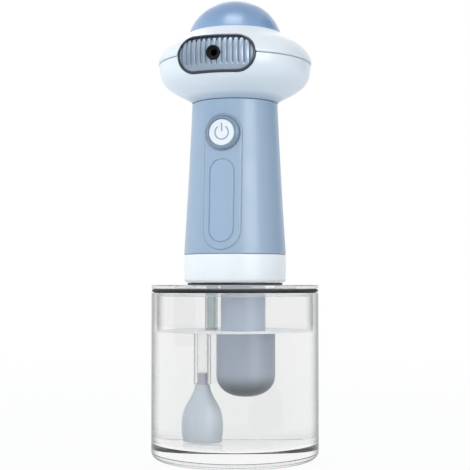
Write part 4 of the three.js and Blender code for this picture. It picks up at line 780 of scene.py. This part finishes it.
# a grey power symbol set into the cap: a ring open at the top, and a bar
symbol = {"radius": 3.6, "halfWidth": 0.36, "openDegrees": 70, "barFoot": 0.6, "barTop": 4.9, "sunk": 0.25,
          "proud": 0.02}
angle = np.radians(np.linspace(90 + symbol["openDegrees"] / 2, 450 - symbol["openDegrees"] / 2, 60))[None, :]
across = np.array([-1, 1, 1, -1])[:, None] * symbol["halfWidth"]
radius = symbol["radius"] + across + 0 * angle
lift = np.array([-symbol["proud"], -symbol["proud"], symbol["sunk"], symbol["sunk"]])[:, None]
power = sweepSolid("powerSymbolInlay", toPoints(
    radius * np.cos(angle), dishAt(radius) + lift, button["height"] + radius * np.sin(angle)))
rise = np.linspace(symbol["barFoot"], symbol["barTop"], 8)[None, :]
bar = sweepSolid("bar", toPoints(across + 0 * rise, dishAt(rise) + lift, button["height"] + rise + 0 * across))
joinTo(power, bar)
fit(power, "button", "button_white", finish="symbolGrey")

# the charging port at the rear, under its hinged cover
cover = mouldPad("portCoverMoulded", port, port["back"], 6, 1)
carve(cover, prism("plug", *port["plug"], port["centre"]), "UNION")
fit(cover, "cover", "handle_blue", ["port_cover"])
socketShell = prism("chargePortDrawn", *port["socket"], port["centre"])
carve(socketShell, prism("inside", *port["inside"], port["centre"]))
carve(socketShell, prism("tongue", *port["tongue"], port["centre"]), "UNION")
fit(socketShell, "pump_unit", "screw_steel", ["charge_port"])
print("handle, button and port made")

# the head: bowl, crown, dome and grille

head = {
    "wall": 2.2, "seamLow": 211.1, "seamHigh": 211.55, "bowlRim": 210.6,
    "lapRadius": 39.8, "lapTop": 212.4, "lapWall": 1.0, "crownBore": 40.05, "crownLap": 212.7,
    "spigotBore": 18.6, "spigotRadius": 20.3, "spigotFoot": 185.5, "spigotTop": 190.5,
}
bowlOutline = smoothPath([
    (23.4, 190.9), (24.3, 192.2), (27.5, 194.0), (31.5, 196.0), (34.8, 198.1), (37.4, 200.2), (39.2, 202.5),
    (40.3, 205.0), (40.8, 207.5), (40.95, 209.6), (41.0, 210.9)], 5)
bowlInside = offsetPath(bowlOutline, head["wall"])
bowlInside = bowlInside[(bowlInside[:, 0] > 20.8) & (bowlInside[:, 1] < head["bowlRim"])]
lapBore = head["lapRadius"] - head["lapWall"]
bowlPath = np.vstack([
    [(head["spigotBore"], bowlInside[0, 1]), (head["spigotBore"], head["spigotFoot"])],
    [(20.0, head["spigotFoot"]), (head["spigotRadius"], 185.9)],
    [(head["spigotRadius"], head["spigotTop"]), (23.1, head["spigotTop"])],
    bowlOutline,
    [(40.85, head["seamLow"]), (head["lapRadius"], head["seamLow"]), (head["lapRadius"], head["lapTop"])],
    [(lapBore, head["lapTop"]), (lapBore, head["bowlRim"])],
    bowlInside[::-1],
])
bowl = revolve("headBowlMoulded", bowlPath, 160)

crownOutline = smoothPath([
    (41.45, 211.75), (41.6, 212.5), (41.25, 214.0), (40.3, 216.0), (39.0, 218.0), (37.5, 219.7), (35.6, 221.3),
    (33.0, 223.0), (30.0, 224.85), (27.0, 226.9), (25.6, 227.95), (25.1, 228.25)], 5)
crownInside = offsetPath(crownOutline, head["wall"])
crownInside = crownInside[(crownInside[:, 1] > 212.8) & (crownInside[:, 0] > 25.15)]
crownPath = np.vstack([
    [(head["crownBore"], head["seamHigh"]), (41.2, head["seamHigh"])],
    crownOutline,
    [(crownOutline[-1, 0], crownInside[-1, 1])],
    crownInside[::-1],
    [(head["crownBore"], head["crownLap"])],
])
crown = revolve("headCrownMoulded", crownPath, 160)

grille = {"centre": 210.9, "half": (20.9, 9.7), "barrel": 41.3, "falls": 2.4, "frame": 1.0, "proud": 0.4, "depth": 3.0,
          "gap": 0.2}


def barrelRadius(z):
    # the grille's barrel is fullest at its middle, and falls off with the square of the height
    return grille["barrel"] - grille["falls"] * ((z - grille["centre"]) / grille["half"][1]) ** 2


mouth = (grille["half"][0] + grille["gap"], grille["half"][1] + grille["gap"])
for shellPiece in (bowl, crown):
    carve(shellPiece, prism("mouth", mouth, mouth[1], -60, -24, grille["centre"]))
fit(bowl, "pump_unit", "head_white", ["head_lower_shell"])
fit(crown, "pump_unit", "head_white", ["head_upper_shell"])

# the dome is a slice of a hollow ball, with a flange that sits under the crown
ball = {"centre": 221, "radius": 26.1, "hollow": 24.3, "rim": 25.02, "bore": 22.9,
        "flange": 27.0, "flangeFoot": 222.7, "flangeTop": 224.0}
outside = np.linspace(math.acos(ball["rim"] / ball["radius"]), tau / 4, 34)
inside = np.linspace(tau / 4, math.acos(ball["bore"] / ball["hollow"]), 16)
domePath = np.vstack([
    [(ball["flange"], ball["flangeTop"]), (24.7, 224.2), (24.7, 227.9)],
    toPoints(ball["radius"] * np.cos(outside), ball["centre"] + ball["radius"] * np.sin(outside)),
    toPoints(ball["hollow"] * np.cos(inside), ball["centre"] + ball["hollow"] * np.sin(inside)),
    [(ball["bore"], ball["flangeFoot"]), (ball["flange"], ball["flangeFoot"])],
])
# the path is turned round to start at the inner apex and end at the outer one, both on the axis
apex = np.argmax(np.abs(domePath[:, 0]) < 1e-6)
dome = revolve("domeMoulded", np.vstack([domePath[apex + 1:], domePath[:apex + 1]]), 144, closed=False)
fit(dome, "pump_unit", "dome_blue", ["dome"])

# the frame round the grille follows the barrel; its outer and inner corners are rounded
turn = np.linspace(0, tau / 4, 5)
width, front, outerRound, innerRound = grille["frame"], grille["proud"], 0.3, 0.35
frameSection = [
    (0.0, -grille["depth"]),
    *((outerRound - outerRound * math.cos(a), front - outerRound + outerRound * math.sin(a)) for a in turn),
    *((width - innerRound + innerRound * math.sin(a), front - innerRound + innerRound * math.cos(a)) for a in turn),
    (width, -grille["depth"]),
]
grilleFrame = pad("nozzleFrameMoulded", grille["half"], grille["half"][1], frameSection, grille["centre"], barrelRadius,
                  closed=True)
fit(grilleFrame, "pump_unit", "frame_slate", ["nozzle_frame"])

# upright ribs: height over the barrel is a round-topped wave across x with flat-bottomed slots between;
# the slots run out in a smooth band at the foot and end in deeper notches at the top
rib = {
    "pitch": 2.8, "slot": 0.65, "flank": 0.22, "depth": 0.65, "dome": 0.28, "sunk": 0.35, "back": 3.6,
    "notch": 1.7, "notchFrom": 6.5, "notchRise": 0.5,
    "tip": 7.7, "tipRound": 0.9, "tipFall": 1.5, "tipRise": 0.4, "bandFrom": -4.4, "bandTo": -6.2,
}


def ease(value, start, end):
    # 0 before start, 1 after end, with a smooth rise between
    t = np.clip((value - start) / (end - start), 0, 1)
    return t * t * (3 - 2 * t)


x = np.linspace(-19.8, 19.8, 321)[None, :]
z = np.concatenate([np.linspace(-8.8, 6.0, 60), np.linspace(6.2, 8.8, 28)])[:, None]
fromMiddle = np.abs((x / rib["pitch"] + 0.5) % 1 - 0.5) * rib["pitch"]
slotEdge = rib["pitch"] / 2 - rib["slot"] / 2
slot = ease(fromMiddle, slotEdge - rib["flank"], slotEdge + rib["flank"])
run = 1 - ease(-z, -rib["bandFrom"], -rib["bandTo"])
notch = ease(z, rib["notchFrom"], rib["notchFrom"] + rib["notchRise"])
fall = slot * rib["depth"] * run + slot * notch * rib["notch"]
offMiddle = (fromMiddle / (rib["pitch"] / 2)) ** 2
tipLine = rib["tip"] - rib["tipRound"] * offMiddle  # each rib ends in a round tip
fall = np.maximum(fall, rib["tipFall"] * ease(z, tipLine, tipLine + rib["tipRise"]))
crest = rib["dome"] * offMiddle * run
face = np.sqrt((barrelRadius(z + grille["centre"]) - rib["sunk"] - fall - crest) ** 2 - x**2)
backZ = z[::-1][::29]
behind = np.sqrt((barrelRadius(backZ + grille["centre"]) - rib["back"]) ** 2 - x**2)
plateGrid = np.concatenate([
    toPoints(x + 0 * z, -face, z + grille["centre"] + 0 * x),
    toPoints(x + 0 * behind, -behind, backZ + grille["centre"] + 0 * x),
])
nozzle = {"bore": 1.7, "flange": 5.3, "flangeBack": -34.3, "flangeFront": -36.2, "radius": 3.7, "hole": 3.75,
          "mouth": 2.7, "mouthFloor": -40.6, "boreFront": -40.2, "front": -42.2}
plate = sweepSolid("nozzlePlateMoulded", plateGrid)
trim = tuple(a - width - 0.05 for a in grille["half"])
carve(plate, prism("trim", trim, trim[1], -60, -20, grille["centre"]), "INTERSECT")
carve(plate, rod(nozzle["hole"], -60, -20, forwardAt=grille["centre"]))
fit(plate, "pump_unit", "grille_silver", ["nozzle_plate"], sharp=42)

outlet = revolve("foamNozzleTurned", filletPath([
    (nozzle["bore"], nozzle["flangeBack"]),
    (nozzle["flange"], nozzle["flangeBack"], 0.2),
    (nozzle["flange"], nozzle["flangeFront"], 0.2),
    (nozzle["radius"], nozzle["flangeFront"]),
    (nozzle["radius"], nozzle["front"], 0.5),
    (nozzle["mouth"], nozzle["front"], 0.3),
    (nozzle["mouth"], nozzle["mouthFloor"], 0.2),
    (nozzle["bore"], nozzle["boreFront"], 0.15),
], 6), 72, forwardAt=grille["centre"])
fit(outlet, "pump_unit", "nozzle_black", ["foam_nozzle"])
print("head made")

# the pieces inside keep their CAD shapes and get a finish

for part in frame["record"]["subparts"]:
    for holder in frame["nodes"][part["node"]].material_slots:
        holder.material = finishes[part["material_slot"]]
print("inner pieces finished")

# studio: white floor, white surroundings and soft lamps


def seenDirectly(tree):
    # 1 for rays from the camera, off gloss and through glass; 0 for the light that falls on things
    path = addNode(tree, "LightPath").outputs
    gloss = addNode(tree, "Math", {0: path["Is Camera Ray"], 1: path["Is Glossy Ray"]}, operation="MAXIMUM")
    glass = addNode(tree, "Math", {0: gloss, 1: path["Is Transmission Ray"]}, operation="MAXIMUM")
    first = addNode(tree, "Math", {0: path["Diffuse Depth"], 1: 0.5}, operation="LESS_THAN")
    return addNode(tree, "Math", {0: glass, 1: first}, operation="MULTIPLY")


world = bpy.data.worlds.new("whiteRoom")
scene.world = world
world.use_nodes = True
world.node_tree.nodes.clear()
tree = world.node_tree
skyLook = {"colour": "F5F8FC", "fill": 0.84, "throughGlass": 0.84}
throughGlass = addNode(tree, "LightPath").outputs["Is Transmission Ray"]
seen = addNode(tree, "MapRange", {"Value": throughGlass, "To Min": 1.0, "To Max": skyLook["throughGlass"]})
fill = addNode(tree, "Background", {"Color": linear(skyLook["colour"]), "Strength": skyLook["fill"]})
white = addNode(tree, "Background", {"Color": (1, 1, 1, 1), "Strength": seen})
sky = addNode(tree, "MixShader", {0: seenDirectly(tree), 1: fill, 2: white})
addNode(tree, "OutputWorld", {"Surface": sky})


def lacqueredTable(tree, place, look):
    # white lacquer that glows as the sky does, the more so away from the part, for all but the light it sheds
    lacquer = addNode(tree, "BsdfPrincipled", {
        "Base Color": driftColour(tree, place, look, look["flow"]), "Roughness": look["roughness"]})
    glow = addNode(tree, "Emission", {"Color": (1, 1, 1, 1), "Strength": 1.0})
    away = addNode(tree, "VectorMath", {0: place}, operation="LENGTH")
    lift = addNode(tree, "MapRange", {
        "Value": away.outputs["Value"],
        "From Min": look["fadeFrom"],
        "From Max": look["fadeTo"],
        "To Min": look["lift"],
        "To Max": 1.0,
    }, interpolation_type="SMOOTHSTEP")
    share = addNode(tree, "Math", {0: seenDirectly(tree), 1: lift}, operation="MULTIPLY")
    return {"Surface": addNode(tree, "MixShader", {0: share, 1: lacquer, 2: glow})}


# the glow starts at lift and grows to full white between fadeFrom and fadeTo, in m from the part
table = {"half": 1500, "colour": "DDE5EC", "drift": "D9E2EA", "flow": 1000 / 9, "roughness": 0.55,
         "lift": 0.93, "fadeFrom": 0.2, "fadeTo": 0.9}
side = table["half"]
floor = makeMesh("studioFloor", [(-side, -side, 0), (side, -side, 0), (side, side, 0), (-side, side, 0)],
                 [[0, 1, 2, 3]])
floor.data.materials.append(makeMaterial("white_table_lacquered", lacqueredTable, table))

# dark felt cards are seen only off gloss: one shades the plated ribs at the left, and one the right side. Each has
# the place of its two sides, its foot and its top, in mm.
cards = {"leftCard": ((-760, -240), (-480, -640), 20, 520), "rightCard": ((400, 660), (660, 130), 140, 900)}


def blackFelt(tree, place, look):
    nap = fineRelief(tree, place, look, look["pile"], 2.0, look["pileHeight"])
    return {"Surface": addNode(tree, "BsdfDiffuse", {"Color": linear(look["colour"]), "Normal": nap})}


felt = makeMaterial("black_felt_card", blackFelt, {
    "colour": "24282E", "relief": 0.4, "pile": 1000 / 900, "pileHeight": 0.45})
for name, (start, end, foot, top) in cards.items():
    card = makeMesh(name, [(*start, foot), (*end, foot), (*end, top), (*start, top)], [[0, 1, 2, 3]])
    card.data.materials.append(felt)
    card.visible_camera = card.visible_diffuse = card.visible_transmission = card.visible_shadow = False

# lamps aim at the handle's foot: power in watts, size and place in m, and whether the lamp fills and shines. Key and
# strip only put highlights on the dome and down the handle, and no lamp shows as a patch inside the clear jar.
lampTarget = (0, 0, 0.12)
lamps = {
    "keyLamp": (4.6, (0.6, 0.45), (0.1, -0.5, 1.15), False, True),
    "frontLamp": (2.9, (0.6, 0.5), (0.3, -1.2, 0.48), True, False),
    "stripLamp": (8.5, (0.8, 0.6), (1.05, -0.78, 0.38), False, True),
    "leftLamp": (3.4, (0.5, 0.6), (-1.1, -0.55, 0.35), True, False),
    "backLamp": (1.3, (0.6, 0.6), (-0.35, 1.0, 0.9), True, True),
}
for name, (watts, size, place, fills, shines) in lamps.items():
    data = bpy.data.lights.new(name, "AREA")
    data.shape, data.energy = "RECTANGLE", watts
    data.size, data.size_y = size
    lamp = bpy.data.objects.new(name, data)
    scene.collection.objects.link(lamp)
    lamp.location = place
    aim = np.array(place) - np.array(lampTarget)
    lamp.rotation_euler = (math.acos(aim[2] / np.linalg.norm(aim)), 0, math.atan2(aim[0], -aim[1]))
    lamp.visible_diffuse, lamp.visible_glossy, lamp.visible_transmission = fills, shines, False

# the camera stands where the photograph was taken from; distance and height are in m, lens and sensor in mm

view = {"azimuth": 15.75, "distance": 0.59864, "height": 0.09426, "tilt": 2.414, "lens": 84.84, "sensor": 36.0}
turn = math.radians(view["azimuth"])
cameraData = bpy.data.cameras.new("photographView")
cameraData.lens, cameraData.sensor_width = view["lens"], view["sensor"]
cameraData.clip_start, cameraData.clip_end = 0.01, 20
camera = bpy.data.objects.new("photographView", cameraData)
scene.collection.objects.link(camera)
camera.location = (view["distance"] * math.sin(turn), -view["distance"] * math.cos(turn), view["height"])
camera.rotation_euler = (math.radians(90 + view["tilt"]), 0, turn)
scene.camera = camera

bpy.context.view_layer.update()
# lamp light passes the clear pieces: they shade nothing, as a faint tint would hardly show
for clearPiece in (cup, shoulder, water, tube):
    clearPiece.visible_shadow = False
print("studio and camera ready")
